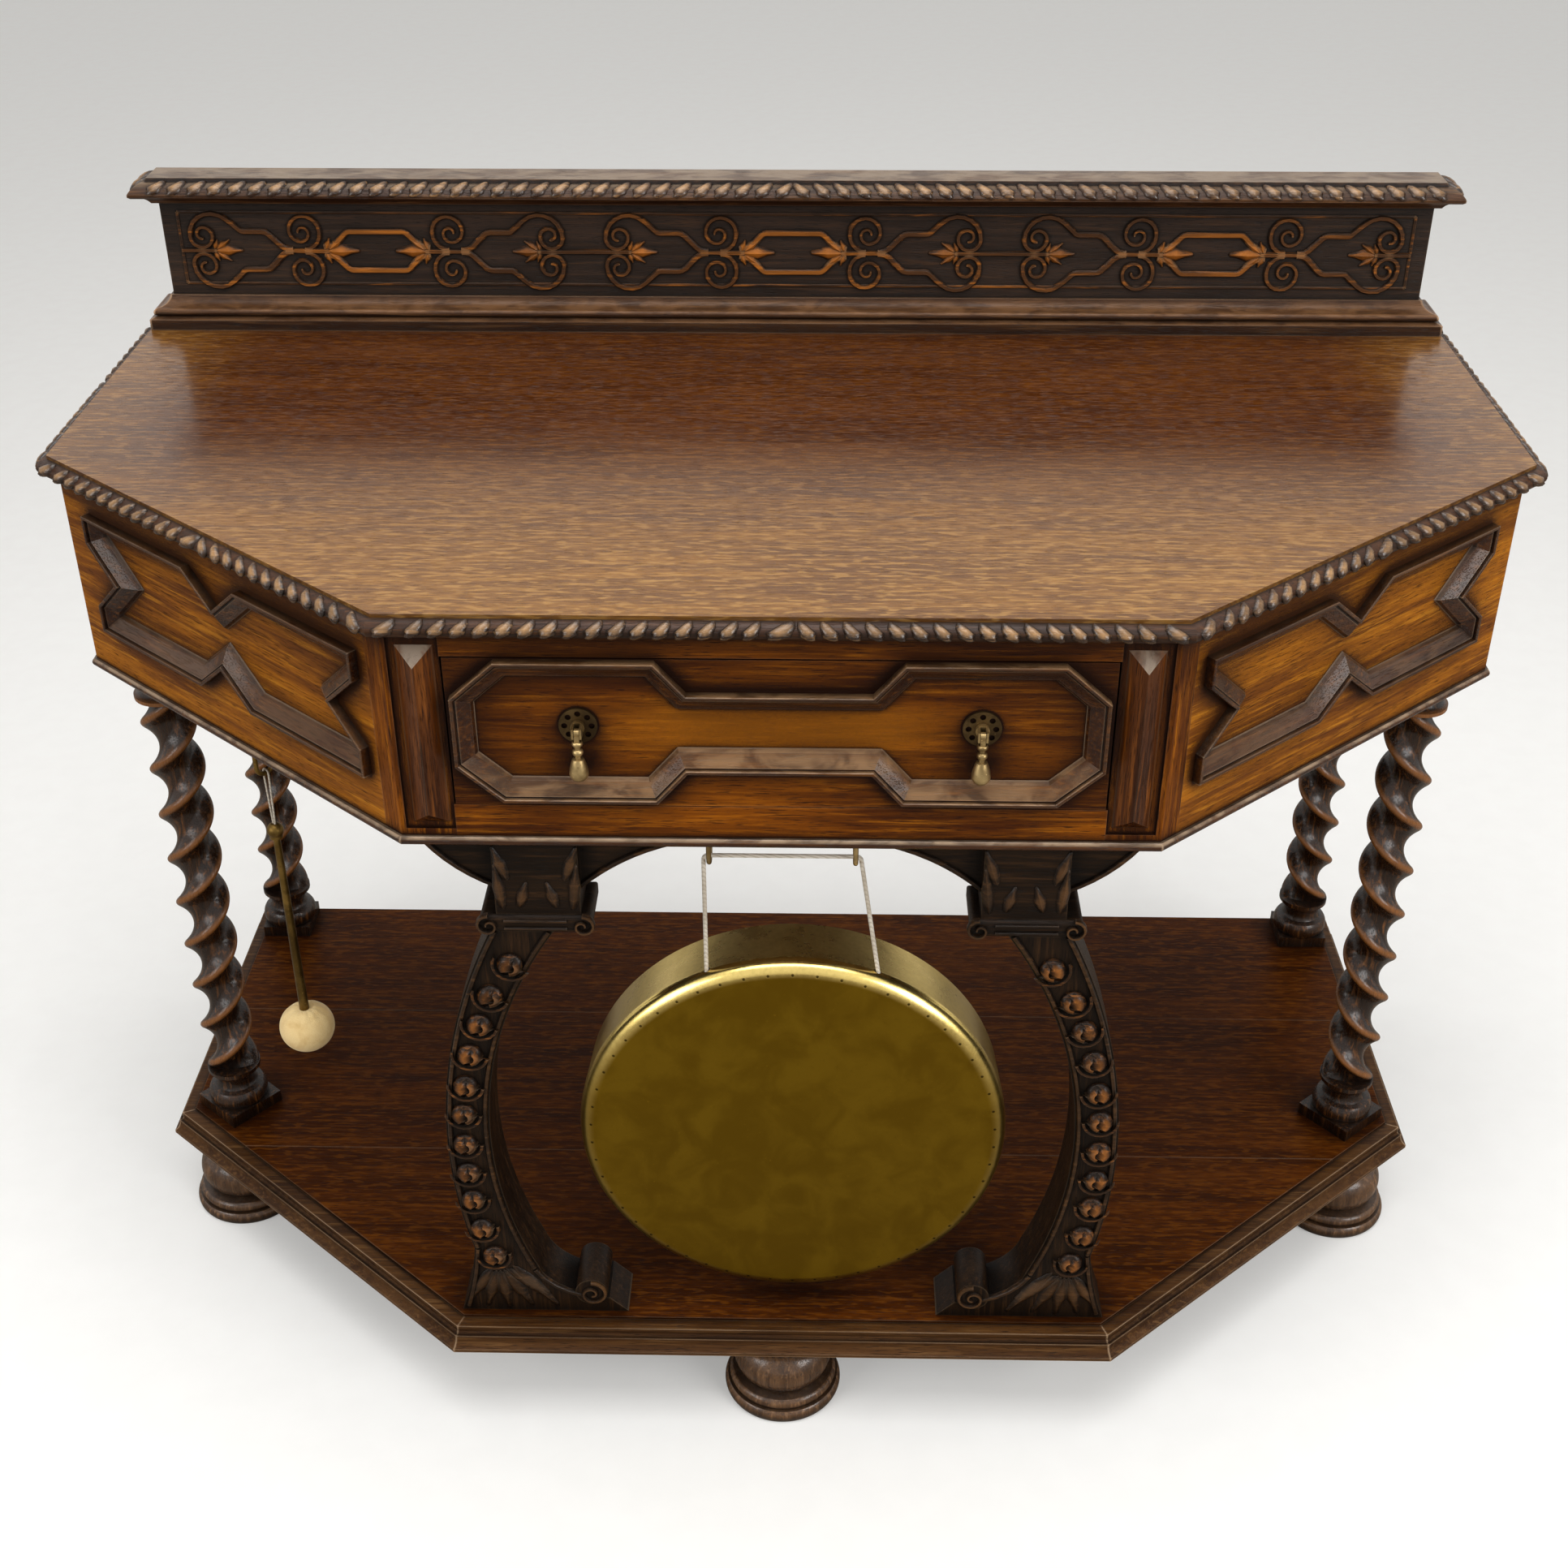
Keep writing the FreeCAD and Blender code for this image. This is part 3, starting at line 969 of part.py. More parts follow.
def beater():
    """Beater with its string, hung from a hook under the left cant."""
    place, away = beater_hook_place()
    top = place.z - STRING_DROP
    across = Vector(-away.y, away.x, 0)
    flat = math.sqrt(FINIAL_RADIUS ** 2 - (STRING_FOOT_HALF + STRING) ** 2)
    ball = top - flat
    collar = ball - FINIAL_RADIUS
    rod_foot = collar - ROD_LENGTH
    head = rod_foot + ROD_SOCKET - HEAD_HALF_HEIGHT + HEAD_DIMPLE
    finial = Part.makeSphere(FINIAL_RADIUS, Vector(0, 0, ball)).cut(
        box(-FINIAL_RADIUS, FINIAL_RADIUS, -FINIAL_RADIUS, FINIAL_RADIUS, top, top + FINIAL_RADIUS))
    shaft = turned((0.0, rod_foot), [
        (ROD_FOOT_RADIUS, rod_foot),
        (ROD_FOOT_RADIUS, rod_foot + ROD_SOCKET),
        (ROD_TOP_RADIUS, collar - STRING),
        (1.8 * ROD_TOP_RADIUS, collar),
        (1.8 * ROD_TOP_RADIUS, collar + 2 * STRING),
        (0.0, collar + 2 * STRING),
    ])
    shaft = shaft.fuse(finial).removeSplitter()
    crown = head + HEAD_HALF_HEIGHT
    socket = ROD_FOOT_RADIUS + ROD_CLEARANCE
    pad = turned((0.0, head - HEAD_HALF_HEIGHT), [
        ((HEAD_RADIUS * math.sqrt(0.5), head - HEAD_HALF_HEIGHT * math.sqrt(0.5)), (HEAD_RADIUS, head)),
        ((HEAD_RADIUS * math.sqrt(0.6), head + HEAD_HALF_HEIGHT * math.sqrt(0.4)),
         (HEAD_DIMPLE_RADIUS, crown)),
        (socket, crown - HEAD_DIMPLE),
        (socket, rod_foot),
        (0.0, rod_foot),
    ])

    def lift(u, v):
        return Vector(place.x, place.y, v) + across * u

    ends = [(-STRING_FOOT_HALF, top), (STRING_FOOT_HALF, top)]
    string = cord_over([(0.0, place.z)], ends[0], ends[1], STRING_TURN, STRING, lift, "beater string")
    for shape in (shaft, pad):
        shape.translate(Vector(place.x, place.y, 0))
    return {
        "beater_rod": shaft,
        "beater_head": pad,
        "beater_string": string,
        "beater_hook": hook(place, away),
    }


def main():
    """Build every node and write it as STEP."""
    os.makedirs("parts", exist_ok=True)
    nodes = {}
    for build in (top_and_gallery, frieze, drawer_carriers, drawer, pulls, legs, shelf_and_feet, brackets,
                  gong_and_cord, beater):
        nodes.update(build())
    for name, shape in nodes.items():
        if not shape.isValid():
            raise ValueError(f"{name} isn't a valid shape")
        shape.exportStep(f"parts/{name}.step")
    print(f"{len(nodes)} nodes written")


main()
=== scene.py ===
"""Looks of an oak serving table with a carved gallery, twisted legs and a hanging brass gong.

Lengths inside the modelling classes are millimetres; finishes, studio and finished pieces are in metres.
"""
import json
import logging
import math
from collections.abc import Callable, Iterable, Sequence
from dataclasses import dataclass, replace
from enum import Enum

import bmesh
import bpy
from bpy.types import Material, NodeSocket, Object
from mathutils import Matrix, Vector

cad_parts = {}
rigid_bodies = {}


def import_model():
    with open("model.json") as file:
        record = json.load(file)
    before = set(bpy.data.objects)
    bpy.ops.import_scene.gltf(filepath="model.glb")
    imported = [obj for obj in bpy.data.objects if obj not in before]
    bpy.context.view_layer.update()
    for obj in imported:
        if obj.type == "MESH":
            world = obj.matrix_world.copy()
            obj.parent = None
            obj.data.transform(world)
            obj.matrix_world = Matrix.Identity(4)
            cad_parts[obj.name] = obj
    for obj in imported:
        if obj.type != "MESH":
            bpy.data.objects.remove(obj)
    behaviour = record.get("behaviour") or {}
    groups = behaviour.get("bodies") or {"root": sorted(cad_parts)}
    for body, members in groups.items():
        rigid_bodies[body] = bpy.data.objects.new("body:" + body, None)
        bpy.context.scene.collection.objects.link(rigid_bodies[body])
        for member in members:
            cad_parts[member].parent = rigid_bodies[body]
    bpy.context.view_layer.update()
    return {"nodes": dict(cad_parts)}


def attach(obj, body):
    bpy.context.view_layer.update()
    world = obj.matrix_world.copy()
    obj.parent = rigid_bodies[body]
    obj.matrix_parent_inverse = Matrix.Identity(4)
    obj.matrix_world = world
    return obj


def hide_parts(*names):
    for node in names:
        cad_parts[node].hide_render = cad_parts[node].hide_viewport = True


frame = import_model()
LOG = logging.getLogger("table")
MM = 0.001
QUARTER_TURN = math.pi / 2
ORIGIN = (0.0, 0.0, 0.0)

Colour = tuple[float, float, float]
Point = tuple[float, float, float]
Flat = tuple[float, float]

# Plan of the table, as in the part's source
BACK_Y = 312.0
FRONT_CORNER = (281.0, -299.0)
WIDE_CORNER = (594.0, -29.0)
CANT_ANGLE = math.atan2(WIDE_CORNER[1] - FRONT_CORNER[1], WIDE_CORNER[0] - FRONT_CORNER[0])
BEATER_AXIS = (-419.106, -149.492)


class Grain(Enum):
    """Ways the wood can run, as the turn that brings the grain onto X."""

    ACROSS = (0.0, 0.0, 0.0)
    DEEP = (0.0, 0.0, -QUARTER_TURN)
    UPRIGHT = (0.0, QUARTER_TURN, 0.0)
    LEFT_CANT = (0.0, 0.0, CANT_ANGLE)
    RIGHT_CANT = (0.0, 0.0, -CANT_ANGLE)


class Side(Enum):
    """The two hands of a mirrored pair."""

    LEFT = -1
    RIGHT = 1


# Shading


def scaled(colour: Colour, share: float) -> Colour:
    """A colour with a share of its light."""
    return tuple(share * c for c in colour)


def math_node(operation: str, swapped: bool = False) -> Callable[..., "Value"]:
    """Make a method of Value that adds a Math node.

    Args:
        operation: Blender's name of the operation.
        swapped: whether the other operand comes first.

    Returns:
        The method.
    """
    def apply(value: "Value", other: "Value | float" = 0.0) -> "Value":
        """Add the node and give its result."""
        first, second = (other, value) if swapped else (value, other)
        return value.graph.add("Math", {0: first, 1: second}, operation=operation)
    return apply


class Value:
    """A node socket with Python arithmetic; every operation adds a Math node."""

    def __init__(self, graph: "Graph", socket: NodeSocket | None) -> None:
        """Keep the graph and the socket that is wrapped."""
        self.graph = graph
        self.socket = socket

    __add__ = __radd__ = math_node("ADD")
    __sub__ = math_node("SUBTRACT")
    __rsub__ = math_node("SUBTRACT", True)
    __mul__ = __rmul__ = math_node("MULTIPLY")
    __pow__ = math_node("POWER")
    fraction = math_node("FRACT")
    angle_to = math_node("ARCTAN2")

    def size(self) -> "Value":
        """Distance from zero."""
        return (self ** 2) ** 0.5

    def hypot(self, other: "Value") -> "Value":
        """Length of the diagonal over two offsets."""
        return (self ** 2 + other ** 2) ** 0.5

    def axis(self, name: str) -> "Value":
        """One coordinate of a place or a direction."""
        return self.graph.add("SeparateXYZ", {"Vector": self}, name)

    def smooth(self, low: float, high: float) -> "Value":
        """Soft step from 0 at low to 1 at high; low may be the larger."""
        return self.graph.add("MapRange", {"Value": self, "From Min": low, "From Max": high},
                              interpolation_type="SMOOTHSTEP")


class Graph:
    """A material's node tree."""

    def __init__(self, name: str) -> None:
        """Start an empty material of that name."""
        self.material = bpy.data.materials.new(name)
        self.material.use_nodes = True
        self.tree = self.material.node_tree
        self.tree.nodes.clear()

    def add(self, kind: str, sockets: dict | None = None, output: str | int = 0, **settings: object) -> Value:
        """Add any shader node.

        Args:
            kind: Blender's type of the node, without its prefix.
            sockets: values or links, by input name or number.
            output: which output is returned.
            settings: properties that are set first.

        Returns:
            The chosen output.
        """
        node = self.tree.nodes.new(f"ShaderNode{kind}")
        for key, value in settings.items():
            setattr(node, key, value)
        for key, value in (sockets or {}).items():
            socket = node.inputs[key]
            if isinstance(value, Value):
                self.tree.links.new(value.socket, socket)
            elif isinstance(value, tuple) and len(socket.default_value) == 4:
                socket.default_value = (*value, 1.0)
            else:
                socket.default_value = value
        return Value(self, node.outputs[output] if node.outputs else None)

    def mix(self, factor: Value | float, first: Value | Colour, second: Value | Colour,
            way: str = "MIX") -> Value:
        """Blend two colours.

        Args:
            factor: 0 gives the first colour and 1 the second.
            first: colour below.
            second: colour above.
            way: Blender's blend type.

        Returns:
            The blended colour.
        """
        return self.add("Mix", {0: factor, 6: first, 7: second}, 2, data_type="RGBA", blend_type=way)

    def place(self) -> Value:
        """Object coordinates, in metres of the shared frame."""
        return self.add("TexCoord", output="Object")

    def noise(self, place: Value, scale: Point | float, detail: float = 2.0,
              distortion: float = 0.0) -> Value:
        """Noise on stretched coordinates.

        Args:
            place: coordinates.
            scale: cycles per metre, alike or along each axis.
            detail: octaves.
            distortion: how far the pattern is warped.

        Returns:
            A value around one half.
        """
        scale = scale if isinstance(scale, tuple) else (scale, scale, scale)
        stretched = self.add("Mapping", {"Vector": place, "Scale": scale})
        return self.add("TexNoise", {"Vector": stretched, "Scale": 1.0, "Detail": detail,
                                     "Distortion": distortion, "Roughness": 0.55})

    def hollows(self, reach: float) -> Value:
        """How closed in a point is, 0 in the open to 1 in a corner."""
        return 1 - self.add("AmbientOcclusion", {"Distance": reach}, "AO", samples=6)

    def edges(self, reach: float) -> Value:
        """How near a point is to a sharp outer edge of its own piece."""
        return 1 - self.add("AmbientOcclusion", {"Distance": reach}, "AO", samples=4, inside=True,
                            only_local=True)

    def bump(self, height: Value, distance: float, strength: float) -> Value:
        """Normal that follows a height."""
        return self.add("Bump", {"Height": height, "Distance": distance, "Strength": strength})

    def finish(self, sockets: dict) -> Material:
        """Close the graph with one surface shader that has these values and links."""
        self.add("OutputMaterial", {"Surface": self.add("BsdfPrincipled", sockets)})
        return self.material


@dataclass(frozen=True)
class Oak:
    """Waxed oak with figure and pores along the grain, and dark wax with painted shade in the hollows.

    The tones deep, body and glow go from dark to light; worn is that of rubbed arrises, with a painted
    highlight, pale is painted light on slopes that face up. The patterns are in cycles per metre along and
    across the grain.
    """

    name: str
    deep: Colour
    body: Colour
    glow: Colour
    grain: Grain = Grain.ACROSS
    pores: float = 0.75
    flecks: float = 0.0
    roughness: float = 0.42
    specular: float = 0.2
    wax_and_shade: float = 0.8
    wax_and_shade_reach: float = 0.016
    wax_and_shade_full: float = 0.34
    wax_and_shade_least: float = 0.6
    wear_and_glint: float = 0.35
    worn: Colour = (0.36, 0.25, 0.16)
    top_light: float = 0.0
    top_light_slope: Flat = (0.1, 0.75)
    pale: Colour = (0.28, 0.16, 0.075)

    FIGURE = (4.0, 40.0, 40.0)
    LINES = (14.0, 300.0, 300.0)
    PORES = (75.0, 1500.0, 1500.0)
    CLOUD = (4.0, 7.0, 7.0)
    RAYS = (60.0, 260.0, 260.0)
    SPOTS = (30.0, 60.0, 60.0)
    ARRIS = 0.0014
    PORE_SHADE = 0.25
    WAX_AND_SHADE_TONE = 0.18

    def ridge(self, graph: Graph, place: Value) -> Value | None:
        """Mask of rubbed ridges, on carving also a painted highlight on the crests; plain oak has none."""
        return None

    def shade(self, graph: Graph, place: Value, colour: Value) -> Value:
        """Colour after light and use; plain oak keeps its own."""
        return colour

    def material(self) -> Material:
        """Build the finish as nodes."""
        graph = Graph(self.name)
        place = graph.place()
        along = graph.add("Mapping", {"Vector": place, "Rotation": self.grain.value})
        figure = graph.noise(along, self.FIGURE, 4.0, 1.2)
        lines = graph.noise(along, self.LINES, 3.0, 0.5)
        pores = graph.noise(along, self.PORES, 1.0).smooth(0.56, 0.7)
        cloud = graph.noise(along, self.CLOUD)
        tone = figure * 0.55 + lines * 0.3 + cloud * 0.25
        colour = graph.mix(tone.smooth(0.4, 0.68), self.deep, self.body)
        colour = graph.mix(lines.smooth(0.5, 0.78) * 0.7, colour, self.glow)
        if self.flecks:
            ray = graph.noise(along, self.RAYS, 1.0, 0.2)
            colour = graph.mix(ray.smooth(0.54, 0.64) * self.flecks, colour, self.glow)
            colour = graph.mix(ray.smooth(0.45, 0.34) * self.flecks, colour, self.deep)
        colour = graph.mix(pores * self.pores, colour, scaled(self.deep, self.PORE_SHADE))
        # arrises made pale: rubbed wear, with a painted highlight along the edges
        if self.wear_and_glint:
            rubbed = graph.edges(self.ARRIS).smooth(0.16, 0.46) * cloud.smooth(0.25, 0.55)
            colour = graph.mix(rubbed * self.wear_and_glint, colour, self.worn)
        # faces that look up made paler, in patches: painted light from above
        if self.top_light:
            upward = graph.add("NewGeometry", output="Normal").axis("Z").smooth(*self.top_light_slope)
            spots = graph.noise(along, self.SPOTS, 3.0, 0.6).smooth(0.36, 0.62)
            colour = graph.mix(upward * (0.25 + spots * 0.75) * self.top_light, colour, self.pale)
        ridge = self.ridge(graph, place)
        # ridges and crests made golden: rubbed wear, and on carving a painted highlight
        if ridge is not None:
            colour = graph.mix(ridge * (0.45 + lines * 0.9), colour, self.glow)
        colour = self.shade(graph, place, colour)
        # darker in hollows and next to mouldings: partly dark wax, partly painted shade
        wax_and_shade_mask = graph.hollows(self.wax_and_shade_reach).smooth(0.05 * self.wax_and_shade_full, self.wax_and_shade_full)
        wax_and_shade_mask = wax_and_shade_mask * (self.wax_and_shade_least + cloud * 0.7)
        colour = graph.mix(wax_and_shade_mask * self.wax_and_shade, colour, scaled(self.deep, self.WAX_AND_SHADE_TONE))
        gloss = self.roughness + pores * 0.2 + (figure - 0.5) * 0.18 + wax_and_shade_mask * 0.12
        return graph.finish({"Base Color": colour, "Roughness": gloss, "Specular IOR Level": self.specular,
                             "Normal": graph.bump(lines * 0.35 - pores, 0.0003, 0.55)})


@dataclass(frozen=True)
class LitWaistOak(Oak):
    """Oak of the drawer front, with painted light along the middle of its waist and painted shade towards its
    ends.
    """

    middle: float = 0.705
    lit_waist: Flat = (0.15, 0.05)
    half_height: Flat = (0.026, 0.010)
    ends: Flat = (0.12, 0.25)

    def shade(self, graph: Graph, place: Value, colour: Value) -> Value:
        """Colour with the painted light on the waist and the painted shade at the ends."""
        across = place.axis("X").size()
        up = (place.axis("Z") - self.middle).size()
        # darker towards the ends: painted shade
        colour = graph.mix(across.smooth(*self.ends) * 0.55, colour, scaled(self.deep, 0.5))
        # brighter in the middle of the waist: painted pool of light
        return graph.mix(across.smooth(*self.lit_waist) * up.smooth(*self.half_height) * 0.6, colour, self.glow)


@dataclass(frozen=True)
class FadedShadedTopOak(Oak):
    """Oak of the top, lighter towards the front and the ends and darker towards the gallery: partly faded
    wood, partly painted shade and painted reflection of the gallery.
    """

    dark: Colour = (0.33, 0.20, 0.10)
    depth: Flat = (-0.26, 0.06)
    ends: Flat = (0.62, 0.46)

    def shade(self, graph: Graph, place: Value, colour: Value) -> Value:
        """Colour that deepens from the front to the back, with painted shade and painted reflection of the
        gallery.
        """
        back = place.axis("Y").smooth(*self.depth)
        middle = place.axis("X").size().smooth(*self.ends)
        # darker towards the back: painted shade and reflection of the gallery, with fading
        return graph.mix(back * (0.25 + middle * 0.75), colour, self.dark, "MULTIPLY")


@dataclass(frozen=True)
class TwistedOak(Oak):
    """Oak of a twisted leg, rubbed golden on the ridges of the twist above its turned foot."""

    axis: Flat = (0.0, 0.0)
    twist: Flat = (0.0205, 0.0245)
    foot: Flat = (0.160, 0.176)

    def ridge(self, graph: Graph, place: Value) -> Value:
        """Mask that grows with the distance from the leg's axis."""
        radius = (place.axis("X") - self.axis[0]).hypot(place.axis("Y") - self.axis[1])
        return radius.smooth(*self.twist) * place.axis("Z").smooth(*self.foot)


@dataclass(frozen=True)
class CarvedOak(Oak):
    """Carved oak, dark in the ground and golden on what stands up: rubbed wear with a painted highlight on
    the crests.
    """

    low: float = 0.5
    high: float = 1.05
    patchy: float = 0.55

    def ridge(self, graph: Graph, place: Value) -> Value:
        """Mask from the carving's own rise attribute."""
        rise = graph.add("Attribute", output="Fac", attribute_name="rise")
        kept = graph.noise(place, (9.0, 9.0, 14.0), 3.0, 0.3).smooth(0.36, 0.62)
        return rise.smooth(self.low, self.high) * (1 - self.patchy + kept * self.patchy)


@dataclass(frozen=True)
class Brass:
    """Old brass, mottled and faintly scratched; the patterns are in cycles per metre."""

    name: str
    bright: Colour
    tarnish: Colour
    roughness: float
    metallic: float = 0.9

    MOTTLE = 28.0
    FINE = 260.0
    SPECKS = 480.0
    SCRATCHES = (900.0, 60.0, 40.0)
    POLISH_AND_HIGHLIGHT = (0.95, 0.72, 0.24)
    GRIME = 0.7

    def marks(self, graph: Graph, place: Value) -> Value | None:
        """Mask of punched marks; plain brass has none."""
        return None

    def polish_and_highlight(self, graph: Graph, place: Value) -> Value | None:
        """Mask of what is polished and painted bright as a highlight; plain brass has none."""
        return None

    def material(self) -> Material:
        """Build the finish as nodes."""
        graph = Graph(self.name)
        place = graph.place()
        mottle = graph.noise(place, self.MOTTLE, 5.0, 0.5)
        fine = graph.noise(place, self.FINE, 3.0)
        scratch = graph.noise(place, self.SCRATCHES)
        colour = graph.mix(mottle.smooth(0.35, 0.66), self.tarnish, self.bright)
        colour = graph.mix(fine.smooth(0.58, 0.75) * 0.5, colour, self.tarnish)
        specks = graph.noise(place, self.SPECKS, 1.0).smooth(0.7, 0.78)
        colour = graph.mix(specks * 0.6, colour, scaled(self.bright, 1.5))
        gloss = self.roughness + (mottle - 0.5) * 0.25 + fine * 0.06
        polish_and_highlight = self.polish_and_highlight(graph, place)
        # bright upper edge: polish with painted highlight
        if polish_and_highlight is not None:
            colour = graph.mix(polish_and_highlight * (0.7 + fine * 0.6), colour, self.POLISH_AND_HIGHLIGHT)
            gloss = gloss - polish_and_highlight * 0.16
        dirt = graph.hollows(0.006).smooth(0.35, 0.85) * self.GRIME
        colour = graph.mix(dirt, colour, scaled(self.tarnish, 0.2))
        height = fine * 0.5 + scratch * 0.3
        marks = self.marks(graph, place)
        if marks is not None:
            colour = graph.mix(marks * 0.85, colour, scaled(self.tarnish, 0.15))
            height = height - marks * 4.0
        return graph.finish({"Base Color": colour, "Metallic": self.metallic, "Roughness": gloss,
                             "Normal": graph.bump(height, 0.0002, 0.4)})


@dataclass(frozen=True)
class GongBrass(Brass):
    """Brass of the gong, with a ring of small punched dots inside the edge."""

    centre: Flat = (0.009, 0.305)
    edge: Flat = (0.163, 0.1715)
    front: Flat = (-0.2585, -0.2650)
    upper: Flat = (0.03, 0.14)
    ring: float = 0.1665
    dots: int = 54
    dot: float = 0.0012

    def offsets(self, place: Value) -> tuple[Value, Value]:
        """Offsets across and up from the gong's centre."""
        return place.axis("X") - self.centre[0], place.axis("Z") - self.centre[1]

    def polish_and_highlight(self, graph: Graph, place: Value) -> Value:
        """Mask of the rounded front edge and, fainter, of the wall behind it: polish with painted highlight
        and painted reflection, strongest on the upper part.
        """
        across, up = self.offsets(place)
        front = 0.5 + place.axis("Y").smooth(*self.front) * 0.5
        return across.hypot(up).smooth(*self.edge) * front * (0.2 + up.smooth(*self.upper) * 0.8)

    def marks(self, graph: Graph, place: Value) -> Value:
        """Mask of the ring of dots on the face."""
        across, up = self.offsets(place)
        turn = (up.angle_to(across) * (self.dots / (2 * math.pi))).fraction() - 0.5
        along = turn * (2 * math.pi * self.ring / self.dots)
        return (across.hypot(up) - self.ring).hypot(along).smooth(1.25 * self.dot, 0.7 * self.dot)


@dataclass(frozen=True)
class Cotton:
    """Twisted cotton cord."""

    name: str
    pale: Colour
    worn: Colour
    lie: Point = (0.5, 0.6, 0.3)
    strands: float = 150.0

    def material(self) -> Material:
        """Build the finish as nodes."""
        graph = Graph(self.name)
        place = graph.place()
        turned = graph.add("Mapping", {"Vector": place, "Rotation": self.lie})
        wave = {"Vector": turned, "Scale": self.strands, "Distortion": 1.5, "Detail": 1.0}
        strand = graph.add("TexWave", wave, "Fac", wave_type="BANDS", bands_direction="DIAGONAL")
        fuzz = graph.noise(place, 1600.0)
        stain = graph.noise(place, 40.0, 3.0)
        colour = graph.mix(stain.smooth(0.4, 0.7) * 0.6, self.pale, self.worn)
        colour = graph.mix(strand.smooth(0.45, 0.05) * 0.55, colour, self.worn)
        return graph.finish({"Base Color": colour, "Roughness": 0.85 + fuzz * 0.1, "Sheen Weight": 0.25,
                             "Normal": graph.bump(strand + fuzz * 0.5, 0.0004, 0.8)})


@dataclass(frozen=True)
class Leather:
    """Soft pale leather, pebbled and rubbed."""

    name: str
    pale: Colour
    rubbed: Colour
    pebbles: float = 620.0

    def material(self) -> Material:
        """Build the finish as nodes."""
        graph = Graph(self.name)
        place = graph.place()
        pebble = graph.add("TexVoronoi", {"Vector": place, "Scale": self.pebbles}, "Distance",
                           feature="DISTANCE_TO_EDGE")
        blot = graph.noise(place, 70.0, 4.0, 0.4)
        nap = graph.noise(place, 1100.0)
        colour = graph.mix(blot.smooth(0.42, 0.68), self.pale, self.rubbed)
        colour = graph.mix(pebble.smooth(0.12, 0.02) * 0.35, colour, self.rubbed)
        fold = graph.hollows(0.006).smooth(0.3, 0.85)
        colour = graph.mix(fold * 0.75, colour, scaled(self.rubbed, 0.35))
        height = pebble.smooth(0.0, 0.2) * 0.6 + nap * 0.5
        return graph.finish({"Base Color": colour, "Roughness": 0.68 + nap * 0.2, "Sheen Weight": 0.2,
                             "Normal": graph.bump(height, 0.0003, 0.6)})


Finish = Oak | Brass | Cotton | Leather


@dataclass(frozen=True)
class Lamp:
    """A square soft lamp, with its side length in metres and its power in watts."""

    name: str
    place: Point
    aim: Point
    size: float
    power: float

    def hang(self) -> None:
        """Hang the lamp so that it faces its aim."""
        data = bpy.data.lights.new(self.name, "AREA")
        data.size = self.size
        data.energy = self.power
        lamp = bpy.data.objects.new(self.name, data)
        lamp.location = self.place
        lamp.rotation_euler = (Vector(self.aim) - Vector(self.place)).to_track_quat("-Z", "Y").to_euler()
        bpy.context.scene.collection.objects.link(lamp)


